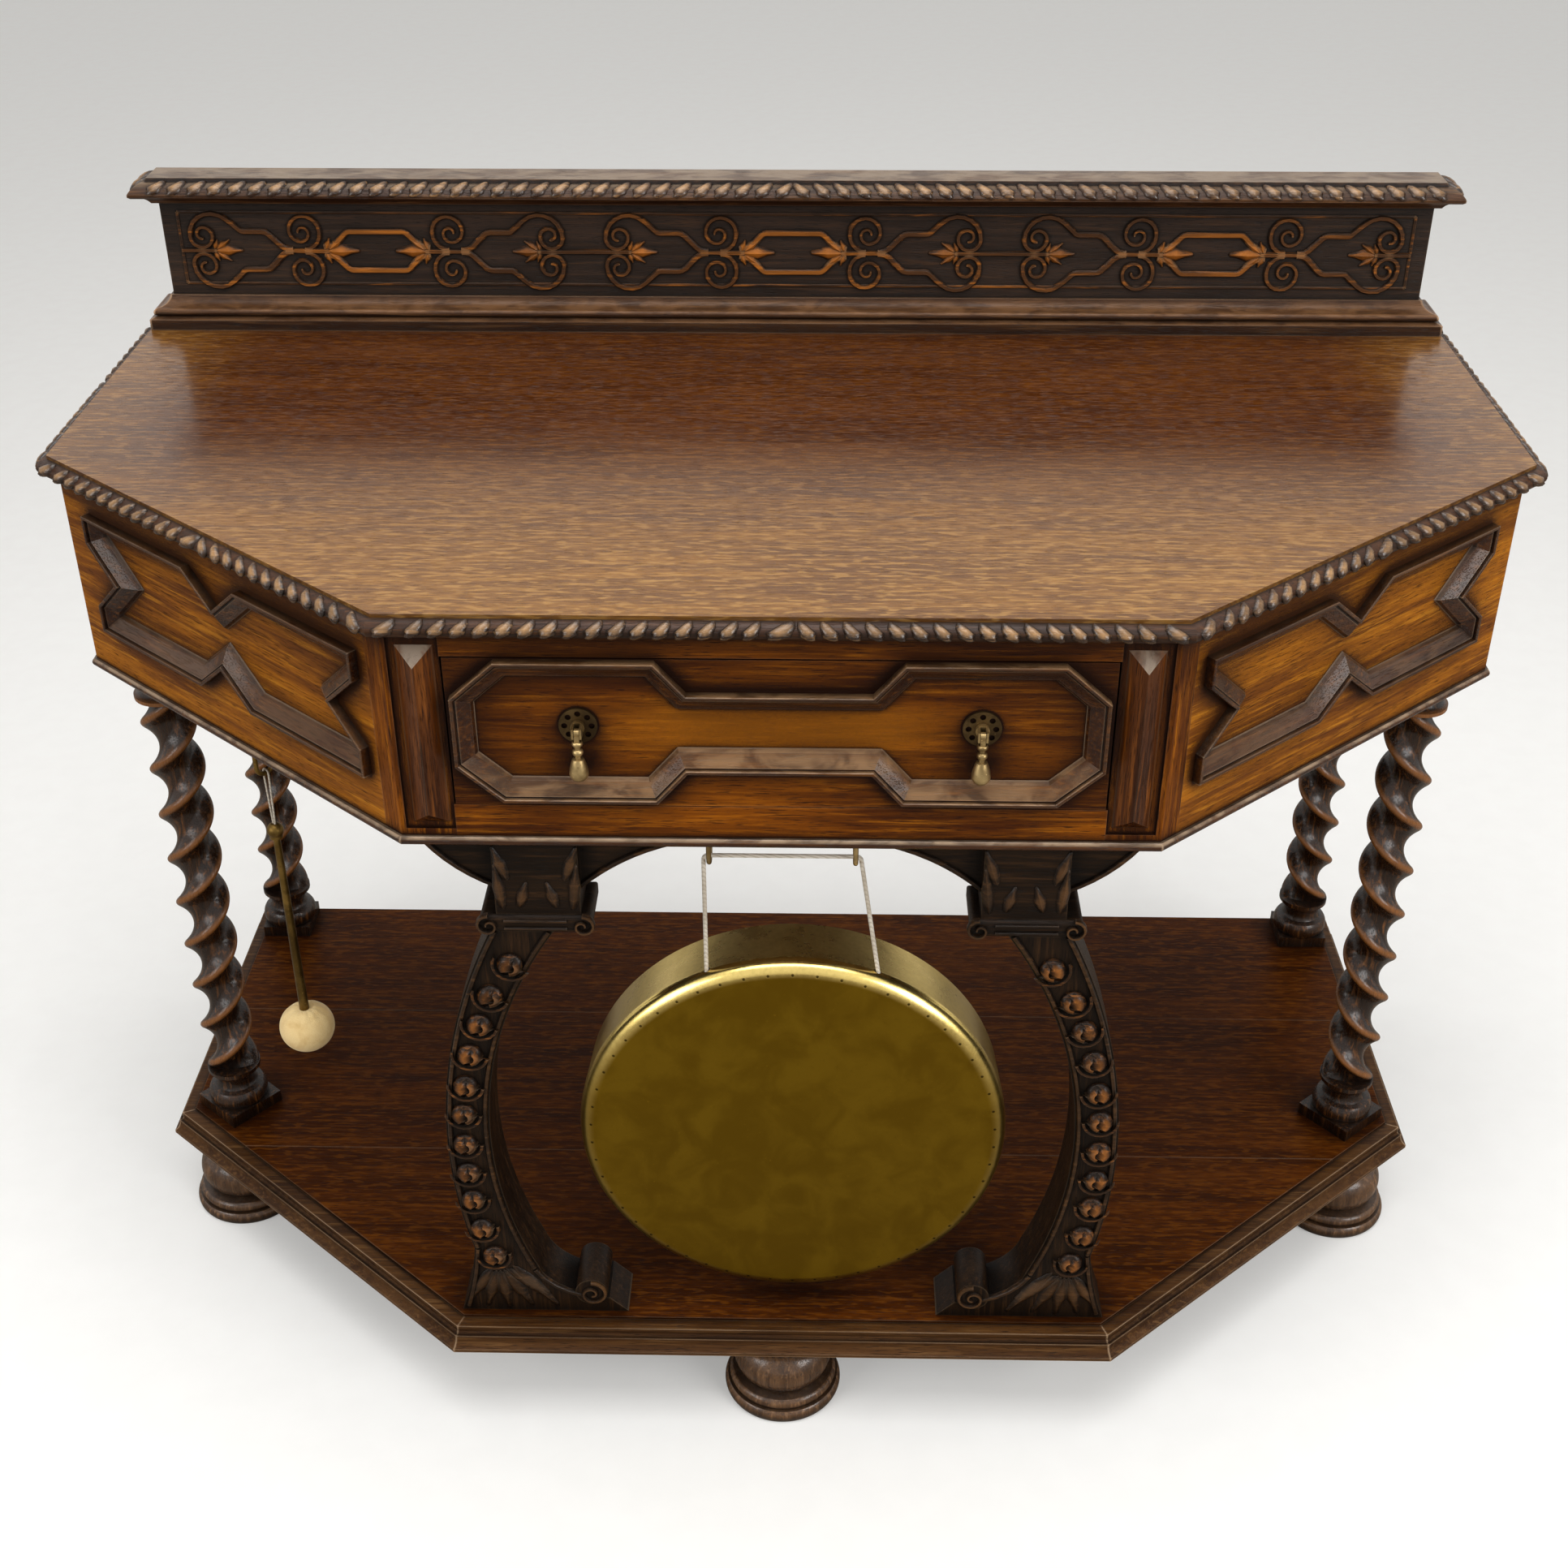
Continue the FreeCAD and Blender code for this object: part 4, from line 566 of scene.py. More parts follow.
@dataclass(frozen=True)
class Studio:
    """Plain pale floor, soft light from above and the camera."""

    floor: Colour = (0.74, 0.73, 0.71)
    floor_bounce: Colour = (0.34, 0.31, 0.27)
    floor_glow: Colour = (0.26, 0.26, 0.255)
    floor_size: float = 16.0
    sky: Colour = (1.0, 0.985, 0.96)
    sky_light: float = 0.34
    sky_seen: float = 0.85
    pitch: float = math.radians(32.2414)
    yaw: float = math.radians(-1.2012)
    roll: float = math.radians(0.1158)
    eye: Point = (0.028775, -1.523626, 1.437694)
    view_angle: float = 2 * math.atan(966 / 2482.1)
    lamps: tuple[Lamp, ...] = (Lamp("ceiling", (0.0, -0.4, 3.2), (0.0, -0.1, 0.0), 2.6, 78.0),
                               Lamp("left", (-2.3, -1.9, 1.65), (-0.2, -0.2, 0.6), 1.5, 26.0),
                               Lamp("right", (2.3, -1.9, 1.65), (0.2, -0.2, 0.6), 1.5, 42.0))

    def camera(self) -> None:
        """Set the camera where the picture was taken from."""
        level = math.cos(self.pitch)
        ahead = Vector((math.sin(self.yaw) * level, math.cos(self.yaw) * level, -math.sin(self.pitch)))
        right = Vector((math.cos(self.yaw), -math.sin(self.yaw), 0.0))
        down = ahead.cross(right)
        side = right * math.cos(self.roll) + down * math.sin(self.roll)
        foot = down * math.cos(self.roll) - right * math.sin(self.roll)
        data = bpy.data.cameras.new("camera")
        data.sensor_fit = "HORIZONTAL"
        data.angle = self.view_angle
        seat = Matrix((side, -foot, -ahead)).transposed().to_4x4()
        seat.translation = Vector(self.eye)
        camera = bpy.data.objects.new("camera", data)
        camera.matrix_world = seat
        bpy.context.scene.collection.objects.link(camera)
        bpy.context.scene.camera = camera

    def light(self) -> None:
        """Hang the lamps and set the even light of the room, brighter where it is seen or mirrored."""
        bpy.context.scene.view_settings.view_transform = "Standard"
        for lamp in self.lamps:
            lamp.hang()
        world = bpy.data.worlds.new("room")
        bpy.context.scene.world = world
        world.use_nodes = True
        nodes, links = world.node_tree.nodes, world.node_tree.links
        paths = nodes.new("ShaderNodeLightPath")
        seen = nodes.new("ShaderNodeMath")
        seen.operation = "MAXIMUM"
        links.new(paths.outputs["Is Camera Ray"], seen.inputs[0])
        links.new(paths.outputs["Is Glossy Ray"], seen.inputs[1])
        level = nodes.new("ShaderNodeMapRange")
        level.inputs["To Min"].default_value = self.sky_light
        level.inputs["To Max"].default_value = self.sky_seen
        links.new(seen.outputs[0], level.inputs["Value"])
        nodes["Background"].inputs["Color"].default_value = (*self.sky, 1.0)
        links.new(level.outputs[0], nodes["Background"].inputs["Strength"])

    def lay_floor(self) -> None:
        """Lay the floor that the table stands on."""
        Bench.clear()
        bpy.ops.mesh.primitive_plane_add(size=self.floor_size)
        floor = bpy.context.object
        floor.name = "floor"
        graph = Graph("floor_pale")
        grain = graph.noise(graph.place(), 30.0, 4.0)
        colour = graph.mix(grain.smooth(0.3, 0.7), scaled(self.floor, 0.97), self.floor)
        seen = graph.add("LightPath", output="Is Camera Ray")
        colour = graph.mix(seen, self.floor_bounce, colour)
        glow = graph.mix(seen, (0.0, 0.0, 0.0), self.floor_glow)
        floor.data.materials.append(graph.finish({"Base Color": colour, "Roughness": 0.9,
                                                  "Emission Color": glow, "Emission Strength": 1.0}))


# Modelling


class Bench:
    """Hand moves of modelling, made with operators on the piece being worked."""

    @staticmethod
    def clear() -> None:
        """Leave edit mode and deselect everything."""
        if bpy.context.mode != "OBJECT":
            bpy.ops.object.mode_set(mode="OBJECT")
        bpy.ops.object.select_all(action="DESELECT")

    @staticmethod
    def take(*pieces: Object) -> None:
        """Select pieces, and only those, with the first one active."""
        Bench.clear()
        for piece in pieces:
            piece.select_set(True)
        bpy.context.view_layer.objects.active = pieces[0]

    @staticmethod
    def mesh() -> bmesh.types.BMesh:
        """Mesh of the piece in edit mode."""
        mesh = bmesh.from_edit_mesh(bpy.context.object.data)
        mesh.verts.ensure_lookup_table()
        return mesh

    @staticmethod
    def choose(test: Callable[[bmesh.types.BMVert], bool]) -> None:
        """Select the vertices that pass a test, and only those."""
        mesh = Bench.mesh()
        for vertex in mesh.verts:
            vertex.select_set(test(vertex))
        mesh.select_flush_mode()
        bmesh.update_edit_mesh(bpy.context.object.data)

    @staticmethod
    def pick(test: Callable[[Vector], bool]) -> None:
        """Select the vertices whose places pass a test, and only those."""
        bpy.ops.mesh.select_mode(type="VERT")
        Bench.choose(lambda vertex: test(vertex.co))

    @staticmethod
    def settle(numbers: Sequence[int], places: Sequence[Vector]) -> None:
        """Move numbered vertices to their places, then select them all.

        Args:
            numbers: vertex numbers.
            places: where each goes.
        """
        for number, place in zip(numbers, places):
            Bench.choose(lambda vertex: vertex.index == number)
            here = Bench.mesh().verts[number].co
            bpy.ops.transform.translate(value=Vector(place) - here)
        Bench.choose(lambda vertex: vertex.index in numbers)

    @staticmethod
    def polygon(points: Sequence[Vector]) -> None:
        """Start a face with its corners at points, in a new piece or in the one being worked."""
        count = len(points)
        bpy.ops.mesh.primitive_circle_add(vertices=count, radius=1.0, fill_type="NGON", enter_editmode=True)
        bpy.ops.mesh.select_mode(type="VERT")
        total = len(Bench.mesh().verts)
        Bench.settle(range(total - count, total), points)

    @staticmethod
    def loft(rings: Sequence[Sequence[Vector]]) -> None:
        """Carry a face through rings of corners, mitred or tapered as they say."""
        Bench.polygon(rings[0])
        for before, after in zip(rings, rings[1:]):
            shift = Vector(after[0]) - Vector(before[0])
            bpy.ops.mesh.extrude_region_move(TRANSFORM_OT_translate={"value": shift})
            mesh = Bench.mesh()
            fresh = [vertex for vertex in mesh.verts if vertex.select]
            numbers = []
            for corner in before:
                near = min(fresh, key=lambda vertex: (vertex.co - corner - shift).length)
                numbers.append(near.index)
            assert len(set(numbers)) == len(before)
            Bench.settle(numbers, after)

    @staticmethod
    def ball(segments: int, rings: int, half_sizes: Point, turn: str = "") -> None:
        """Start a ball.

        Args:
            segments: faces round it.
            rings: faces from pole to pole.
            half_sizes: its half length along each axis.
            turn: the axis that its poles are first laid over about, if any.
        """
        Bench.clear()
        bpy.ops.mesh.primitive_uv_sphere_add(segments=segments, ring_count=rings, radius=1.0,
                                             enter_editmode=True)
        if turn:
            bpy.ops.transform.rotate(value=QUARTER_TURN, orient_axis=turn, center_override=ORIGIN)
        bpy.ops.transform.resize(value=half_sizes)

    @staticmethod
    def turned(profile: Sequence[Flat], steps: int) -> None:
        """Turn a profile of (radius, height) about Z, starting and ending on the axis."""
        bpy.ops.mesh.primitive_circle_add(vertices=3, radius=1.0, enter_editmode=True)
        bpy.ops.mesh.merge(type="CENTER")
        here = Vector(ORIGIN)
        for i, (radius, height) in enumerate(profile):
            step = Vector((radius, 0.0, height)) - here
            if i == 0:
                bpy.ops.transform.translate(value=step)
            else:
                bpy.ops.mesh.extrude_vertices_move(TRANSFORM_OT_translate={"value": step})
            here += step
        bpy.ops.mesh.select_linked()
        bpy.ops.mesh.spin(steps=steps, angle=2 * math.pi, center=ORIGIN, axis=(0, 0, 1))
        bpy.ops.mesh.select_linked()
        bpy.ops.mesh.remove_doubles(threshold=0.001)
        bpy.ops.mesh.normals_make_consistent(inside=False)

    @staticmethod
    def close() -> Object:
        """Put the faces the right way out and leave edit mode."""
        bpy.ops.mesh.select_all(action="SELECT")
        bpy.ops.mesh.normals_make_consistent(inside=False)
        bpy.ops.object.mode_set(mode="OBJECT")
        return bpy.context.object

    @staticmethod
    def mark_rise(piece: Object, rise: Callable[[Vector], float]) -> None:
        """Write how high each vertex stands, 0 to 1, into the rise attribute."""
        values = piece.data.attributes.new("rise", "FLOAT", "POINT").data
        for vertex, value in zip(piece.data.vertices, values):
            value.value = max(0.0, min(1.0, rise(vertex.co)))

    @staticmethod
    def modify(piece: Object, kind: str, **settings: object) -> None:
        """Add a modifier, set it and apply it."""
        Bench.take(piece)
        bpy.ops.object.modifier_add(type=kind)
        modifier = piece.modifiers[-1]
        for key, value in settings.items():
            setattr(modifier, key, value)
        bpy.ops.object.modifier_apply(modifier=modifier.name)

    @staticmethod
    def copies(master: Object, places: Iterable[Matrix]) -> list[Object]:
        """Copy a master shape to places, each copy with its own mesh, and remove the master.

        Args:
            master: shape modelled about the origin.
            places: where each copy goes.

        Returns:
            The copies.
        """
        made = []
        for place in places:
            copy = master.copy()
            copy.data = master.data.copy()
            bpy.context.scene.collection.objects.link(copy)
            copy.data.transform(place)
            if place.determinant() < 0:
                copy.data.flip_normals()
            made.append(copy)
        bpy.data.objects.remove(master)
        return made

    @staticmethod
    def join(pieces: Sequence[Object]) -> Object:
        """Join shapes into one piece."""
        Bench.take(*pieces)
        bpy.ops.object.join()
        return bpy.context.object

    @staticmethod
    def finish(piece: Object, name: str, finish: Finish, slot: str, body: str = "table",
               smooth: float = 40.0) -> Object:
        """Bring a piece to metres, smooth it, dress it and hang it on its body.

        Args:
            piece: shape in millimetres.
            name: the piece's name.
            finish: its looks.
            slot: the record's material slot; not used.
            body: the body it rides on.
            smooth: edges flatter than this many degrees shade smooth.

        Returns:
            The finished piece.
        """
        Bench.take(piece)
        bpy.ops.transform.resize(value=(MM, MM, MM), center_override=ORIGIN)
        bpy.ops.object.transform_apply(location=True, rotation=True, scale=True)
        bpy.ops.object.shade_smooth_by_angle(angle=math.radians(smooth))
        piece.name = piece.data.name = name
        piece.data.materials.clear()
        piece.data.materials.append(finish.material())
        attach(piece, body)
        LOG.info("%s: %d faces on %s", name, len(piece.data.polygons), body)
        return piece


class Stroke:
    """A raised line drawn like a pen stroke on a front face: x to the right, z up, out is -y."""

    STEP_DEGREES = 18
    STEP_LENGTH = 12

    def __init__(self, start: Flat, heading: float, width: float, height: float, sunk: float = 0.5) -> None:
        """Set the section at the start of the line.

        Args:
            start: (x, z) of the start.
            heading: degrees, 0 to the right and 90 up.
            width: width of the line.
            height: how far it stands out.
            sunk: how far its back goes into the ground.
        """
        self.place = Vector((start[0], 0.0, start[1]))
        self.heading = math.radians(heading)
        section = [(-0.5, -sunk), (-0.46, 0.62 * height), (-0.26, height), (0.26, height),
                   (0.46, 0.62 * height), (0.5, -sunk)]
        Bench.polygon([self.place + self.left * (w * width) - Vector((0.0, h, 0.0)) for w, h in section])

    @property
    def left(self) -> Vector:
        """Unit direction to the left of the line."""
        return Vector((-math.sin(self.heading), 0.0, math.cos(self.heading)))

    def run(self, length: float) -> "Stroke":
        """Draw a straight length."""
        step = Vector((math.cos(self.heading), 0.0, math.sin(self.heading))) * length
        bpy.ops.mesh.extrude_region_move(TRANSFORM_OT_translate={"value": step})
        self.place += step
        return self

    def arc(self, radius: float, degrees: float) -> "Stroke":
        """Draw an arc, to the left for a positive angle."""
        turn = math.radians(degrees)
        side = math.copysign(radius, turn)
        centre = self.place + self.left * side
        steps = max(2, round(abs(degrees) / self.STEP_DEGREES), round(radius * abs(turn) / self.STEP_LENGTH))
        bpy.ops.mesh.spin(steps=steps, angle=turn, center=centre, axis=(0.0, 1.0, 0.0))
        self.heading += turn
        self.place = centre - self.left * side
        return self

    def taper(self, factor: float) -> "Stroke":
        """Scale the section that the line goes on with."""
        bpy.ops.transform.resize(value=(factor, 1.0, factor), center_override=self.place)
        return self

    def coil(self, radii: Sequence[float], turn: float = -90.0, shrink: float = 0.93) -> "Stroke":
        """Draw a scroll of arcs, each a quarter turn, that ends in a rounded tip."""
        for radius in radii:
            self.arc(radius, turn).taper(shrink)
        return self.run(1.0).taper(0.5)

    @staticmethod
    def through(start: Flat, by: Flat, end: Flat, width: float, height: float) -> None:
        """Draw a line along the arc through three points.

        Args:
            start: (x, z) where it starts.
            by: a point that it passes.
            end: where it ends.
            width: width of the line.
            height: how far it stands out.
        """
        a, b, c = (complex(*point) for point in (start, by, end))
        w = (c - a) / (b - a)
        centre = (b - a) * (w - abs(w) ** 2) / (w - w.conjugate()) + a
        spoke = a - centre
        swing = (c - centre) / spoke
        turn = math.atan2(swing.imag, swing.real)
        heading = math.degrees(math.atan2(spoke.imag, spoke.real)) + math.copysign(90.0, turn)
        Stroke(start, heading, width, height, 1.0).arc(abs(spoke), math.degrees(turn))


@dataclass
class Petal:
    """A carved leaf blade: pointed, crowned and with a raised middle vein."""

    length: float
    width: float
    height: float

    def model(self) -> Object:
        """Model the blade with its root at the origin, along X, standing up in Z."""
        Bench.ball(12, 6, (self.length / 2, self.width / 2, self.height), "Y")
        bpy.ops.transform.translate(value=(self.length / 2, 0.0, 0.0))
        far = 0.7 * self.length
        Bench.pick(lambda place: place.x > far)
        bpy.ops.transform.resize(value=(1.0, 0.62, 0.75), center_override=(far, 0.0, 0.0))
        Bench.pick(lambda place: place.z > 0.3 * self.height and abs(place.y) > 0.12 * self.width)
        bpy.ops.transform.translate(value=(0.0, 0.0, -0.22 * self.height))
        blade = Bench.close()
        Bench.mark_rise(blade, lambda place: 0.3 + place.z / self.height)
        return blade


@dataclass
class Lobe:
    """A gadroon: a fat drop that leans and thins towards its upper end."""

    width: float
    length: float
    height: float
    lean: float

    def model(self) -> Object:
        """Model the drop about the origin: X along the edge, Y up the slope, Z out."""
        Bench.ball(10, 7, (self.width / 2, self.length / 2, self.height), "X")
        for share, shift, slim in ((0.2, 0.4, 0.86), (0.45, 0.3, 0.8), (0.8, 0.3, 0.85)):
            level = share * self.length / 2
            Bench.pick(lambda place: place.y > level)
            bpy.ops.transform.resize(value=(slim, 1.0, 0.94), center_override=(0.0, level, 0.0))
            bpy.ops.transform.translate(value=(shift * self.lean, 0.0, 0.0))
        Bench.pick(lambda place: place.y < -0.35 * self.length)
        bpy.ops.transform.translate(value=(-0.35 * self.lean, 0.0, 0.0))
        drop = Bench.close()
        Bench.mark_rise(drop, lambda place: place.z / self.height)
        return drop


@dataclass(frozen=True)
class Slope:
    """Slope of a moulding that lobes are laid on.

    Lengths run from the plan point start in the direction run; out points away from the table, offset is the
    distance that way, level the height, and angle that of the slope's outward normal above level.
    """

    start: Flat
    run: Flat
    out: Flat
    offset: float
    level: float
    angle: float

    def seat(self, along: float, hand: float, stretch: float = 1.0) -> Matrix:
        """Place a lobe.

        Args:
            along: distance from the start.
            hand: 1 or -1, which way the lobe leans.
            stretch: widening along the edge.

        Returns:
            The lobe's matrix.
        """
        (run_x, run_y), (out_x, out_y) = self.run, self.out
        level, rise = math.cos(self.angle), math.sin(self.angle)
        across = Vector((run_x, run_y, 0.0)) * (hand * stretch)
        upward = Vector((-out_x * rise, -out_y * rise, level))
        normal = Vector((out_x * level, out_y * level, rise))
        place = Matrix((across, upward, normal)).transposed().to_4x4()
        place.translation = Vector((self.start[0] + run_x * along + out_x * self.offset,
                                    self.start[1] + run_y * along + out_y * self.offset, self.level))
        return place


@dataclass
class Cords:
    """Gong cord over its two hooks and beater string over its hook."""

    hook_y: float = -260.838
    cord: float = 3.5
    cord_length: float = 350.5
    string: float = 1.6
    string_length: float = 109.4
    ends: tuple[Flat, Flat] = ((-59.11, 459.98), (77.11, 459.98))
    over_hooks: tuple[Flat, ...] = ((-59.05, 567.45), (-59.05, 576.55), (-49.95, 576.55), (52.55, 576.55),
                                    (60.45, 576.55), (61.56, 568.74))
    loop: tuple[Flat, ...] = ((-1.2, 528.0), (-3.4, 571.0), (-3.6, 580.6), (3.6, 580.6), (3.4, 571.0),
                              (1.2, 528.0))
    knot: tuple[Flat, ...] = ((0.0, -4.4), (2.2, -4.0), (3.6, -2.4), (4.3, -0.8), (3.2, 0.0), (4.3, 0.9),
                              (3.5, 2.6), (2.1, 3.9), (0.0, 4.4))
    pale: Cotton = Cotton("cotton_cord", (0.82, 0.75, 0.64), (0.46, 0.38, 0.28))

    def line(self, name: str, points: Sequence[Point], thickness: float, body: str, node: str) -> None:
        """Lay one cord as a smooth line through the pull of its route's points.

        Args:
            name: the piece's name.
            points: the route, in millimetres.
            thickness: diameter in millimetres.
            body: the body it rides on.
            node: the solid it stands for.
        """
        data = bpy.data.curves.new(name, "CURVE")
        data.dimensions = "3D"
        spline = data.splines.new("NURBS")
        spline.points.add(len(points) - 1)
        for point, place in zip(spline.points, points):
            point.co = (*(MM * c for c in place), 1.0)
        spline.order_u = 3
        spline.use_endpoint_u = True
        spline.resolution_u = 8
        data.bevel_depth = MM * thickness / 2
        data.bevel_resolution = 3
        data.use_fill_caps = True
        cord = bpy.data.objects.new(name, data)
        bpy.context.scene.collection.objects.link(cord)
        data.materials.append(self.pale.material())
        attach(cord, body)
        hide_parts(node)
        LOG.info("%s: cord on %s", name, body)

    def knots(self) -> Object:
        """Tie the two knots that hold the cord inside the bowl."""
        Bench.clear()
        Bench.turned(self.knot, 14)
        tilt = Matrix.Rotation(0.5, 4, "Y")
        places = [Matrix.Translation((x, self.hook_y, z)) @ tilt for x, z in self.ends]
        pair = Bench.join(Bench.copies(Bench.close(), places))
        return Bench.finish(pair, "gong_cord_knots", self.pale, "cord_cream", "gong", 60.0)

    def build(self) -> None:
        """Lay both cords."""
        knots = self.knots()
        route = [(x, self.hook_y, z) for x, z in (self.ends[0], *self.over_hooks, self.ends[1])]
        self.line("gong_cord_line", route, self.cord, "gong", "gong_cord")
        across = (-math.cos(CANT_ANGLE), math.sin(CANT_ANGLE))
        route = [(BEATER_AXIS[0] + across[0] * u, BEATER_AXIS[1] + across[1] * u, z) for u, z in self.loop]
        self.line("beater_string_line", route, self.string, "beater", "beater_string")


# Finishes of the table's own woods and metals
TOP_OAK = FadedShadedTopOak("oak_top", (0.12, 0.042, 0.004), (0.25, 0.104, 0.013), (0.42, 0.215, 0.052), flecks=0.55,
                   pores=0.5, roughness=0.2, specular=0.5, wax_and_shade=0.35, wear_and_glint=0.0)
EDGE_OAK = Oak("oak_edge", (0.024, 0.008, 0.003), (0.065, 0.025, 0.008), (0.17, 0.08, 0.03), roughness=0.3)
# pale top: painted light from above; pale edges: wear with painted highlight
CAP_OAK = replace(EDGE_OAK, name="oak_gallery_cap", specular=0.22, wax_and_shade=0.97, wax_and_shade_reach=0.007, wax_and_shade_full=0.2,
                  wax_and_shade_least=0.9, wear_and_glint=0.7, top_light=0.85, top_light_slope=(0.72, 0.95), pale=(0.22, 0.155, 0.10))
# pale arris lines: wear with painted highlight; pale upper slope: painted light
BASE_OAK = replace(EDGE_OAK, name="oak_gallery_base", wear_and_glint=1.0, worn=(0.5, 0.33, 0.21), top_light=0.6,
                   pale=(0.24, 0.115, 0.048))
CORE_OAK = Oak("oak_edge_core", (0.02, 0.006, 0.001), (0.055, 0.017, 0.003), (0.12, 0.043, 0.009),
               specular=0.3, wear_and_glint=0.5)
FRIEZE_TONES = ((0.065, 0.014, 0.001), (0.28, 0.075, 0.002), (0.50, 0.165, 0.006))
# the wide reach paints shade far into the fields round the mouldings, with dark wax
FRIEZE_AGE_AND_SHADE = {"pores": 0.8, "wax_and_shade": 0.97, "wax_and_shade_reach": 0.07, "wax_and_shade_full": 0.11, "wax_and_shade_least": 0.95,
              "specular": 0.12, "wear_and_glint": 0.2}
FRIEZE_OAK = Oak("oak_frieze", *FRIEZE_TONES, **FRIEZE_AGE_AND_SHADE)
DRAWER_OAK = LitWaistOak("oak_drawer", *FRIEZE_TONES, **FRIEZE_AGE_AND_SHADE)
RAIL_OAK = replace(FRIEZE_OAK, name="oak_rail", wax_and_shade_reach=0.03, wax_and_shade_full=0.2, wax_and_shade_least=0.6)
# brighter copy of the frieze oak for the canted panels: painted light, as if more light falls on them
LIT_CANT_OAK = replace(FRIEZE_OAK, name="oak_cant", deep=(0.16, 0.042, 0.002), body=(0.50, 0.165, 0.006),
                   glow=(0.76, 0.31, 0.02))
# pale slopes that face up: painted light from above; pale arrises: wear with painted highlight
MOULDING_OAK = Oak("oak_moulding", (0.018, 0.004, 0.001), (0.065, 0.018, 0.002), (0.18, 0.06, 0.008),
                   roughness=0.24, specular=0.28, wax_and_shade_reach=0.008, wear_and_glint=0.9, top_light=0.7,
                   pale=(0.40, 0.23, 0.11))
# pale top facets: painted light from above
HIP_OAK = replace(MOULDING_OAK, name="oak_hip", deep=(0.03, 0.007, 0.001), body=(0.13, 0.034, 0.004),
                  glow=(0.26, 0.08, 0.012), grain=Grain.UPRIGHT, specular=0.2, wear_and_glint=0.15, top_light=0.95,
                  pale=(0.36, 0.28, 0.21))
# pale line along the top of the bead: painted highlight
BEAD_LINE_OAK = replace(MOULDING_OAK, name="oak_bead_line", specular=0.4, top_light=0.95, pale=(0.42, 0.29, 0.18))
GALLERY_OAK = Oak("oak_gallery", (0.016, 0.010, 0.007), (0.036, 0.021, 0.014), (0.07, 0.034, 0.016), wear_and_glint=0.2)
SHELF_OAK = Oak("oak_shelf", (0.034, 0.008, 0.001), (0.092, 0.023, 0.002), (0.17, 0.052, 0.005), flecks=0.45,
                roughness=0.34, specular=0.04, wax_and_shade=0.7, wax_and_shade_reach=0.03)
BRACKET_OAK = Oak("oak_bracket", (0.007, 0.003, 0.001), (0.020, 0.009, 0.003), (0.06, 0.026, 0.009),
                  specular=0.15, wear_and_glint=0.5, worn=(0.14, 0.09, 0.05))
FOOT_OAK = Oak("oak_foot", (0.06, 0.026, 0.010), (0.17, 0.082, 0.034), (0.36, 0.19, 0.09), roughness=0.2,
               specular=0.5, wear_and_glint=0.4)
# pale edge lines: wear with painted highlight; dark grooves: painted shade with wax
RIM_SHELF_OAK = Oak("oak_shelf_edge", (0.034, 0.012, 0.003), (0.090, 0.037, 0.010), (0.17, 0.083, 0.028),
                    roughness=0.34, specular=0.12, wax_and_shade=0.95, wax_and_shade_reach=0.006, wax_and_shade_full=0.25, wear_and_glint=0.95,
                    worn=(0.42, 0.28, 0.17))
LEG_OAK = TwistedOak("oak_leg", (0.013, 0.005, 0.002), (0.036, 0.014, 0.005), (0.28, 0.105, 0.026),
                     grain=Grain.UPRIGHT, roughness=0.2, specular=0.4, wear_and_glint=0.0)
INSIDE_OAK = Oak("oak_inside", (0.20, 0.12, 0.055), (0.36, 0.23, 0.115), (0.46, 0.32, 0.18), roughness=0.7,
                 wax_and_shade=0.5, wear_and_glint=0.0)
STRAP_OAK = CarvedOak("oak_strapwork", (0.018, 0.008, 0.004), (0.046, 0.020, 0.008), (0.52, 0.165, 0.018),
                      wear_and_glint=0.6, worn=(0.30, 0.16, 0.07))
# bright crests of the rope, gadroons and beads: painted highlight with some rubbing
ROPE_OAK = CarvedOak("oak_rope", (0.016, 0.006, 0.002), (0.050, 0.021, 0.008), (0.40, 0.22, 0.09), low=0.55,
                     roughness=0.24, specular=0.5, wax_and_shade=0.6, wax_and_shade_reach=0.006)
BEAD_OAK = CarvedOak("oak_beads", (0.010, 0.004, 0.001), (0.028, 0.011, 0.004), (0.40, 0.14, 0.028), low=0.55,
                     patchy=0.75, roughness=0.3, wear_and_glint=0.5, worn=(0.26, 0.16, 0.09))
RIM_OAK = CarvedOak("oak_rims", (0.008, 0.0035, 0.001), (0.022, 0.010, 0.004), (0.12, 0.054, 0.018), low=0.6,
                    patchy=0.8, roughness=0.3, worn=(0.16, 0.10, 0.06))
OLD_BRASS = Brass("brass_old", (0.62, 0.45, 0.21), (0.18, 0.115, 0.044), 0.34)
PIERCED_BRASS = Brass("brass_pierced", (0.13, 0.082, 0.032), (0.045, 0.027, 0.011), 0.45)
ROD_BRASS = Brass("brass_rod", (0.26, 0.16, 0.040), (0.08, 0.046, 0.010), 0.4)
GONG_BRASS = GongBrass("brass_gong", (0.24, 0.142, 0.009), (0.185, 0.105, 0.006), 0.34, 1.0)
PALE_LEATHER = Leather("leather_pale", (0.95, 0.71, 0.34), (0.82, 0.56, 0.23))


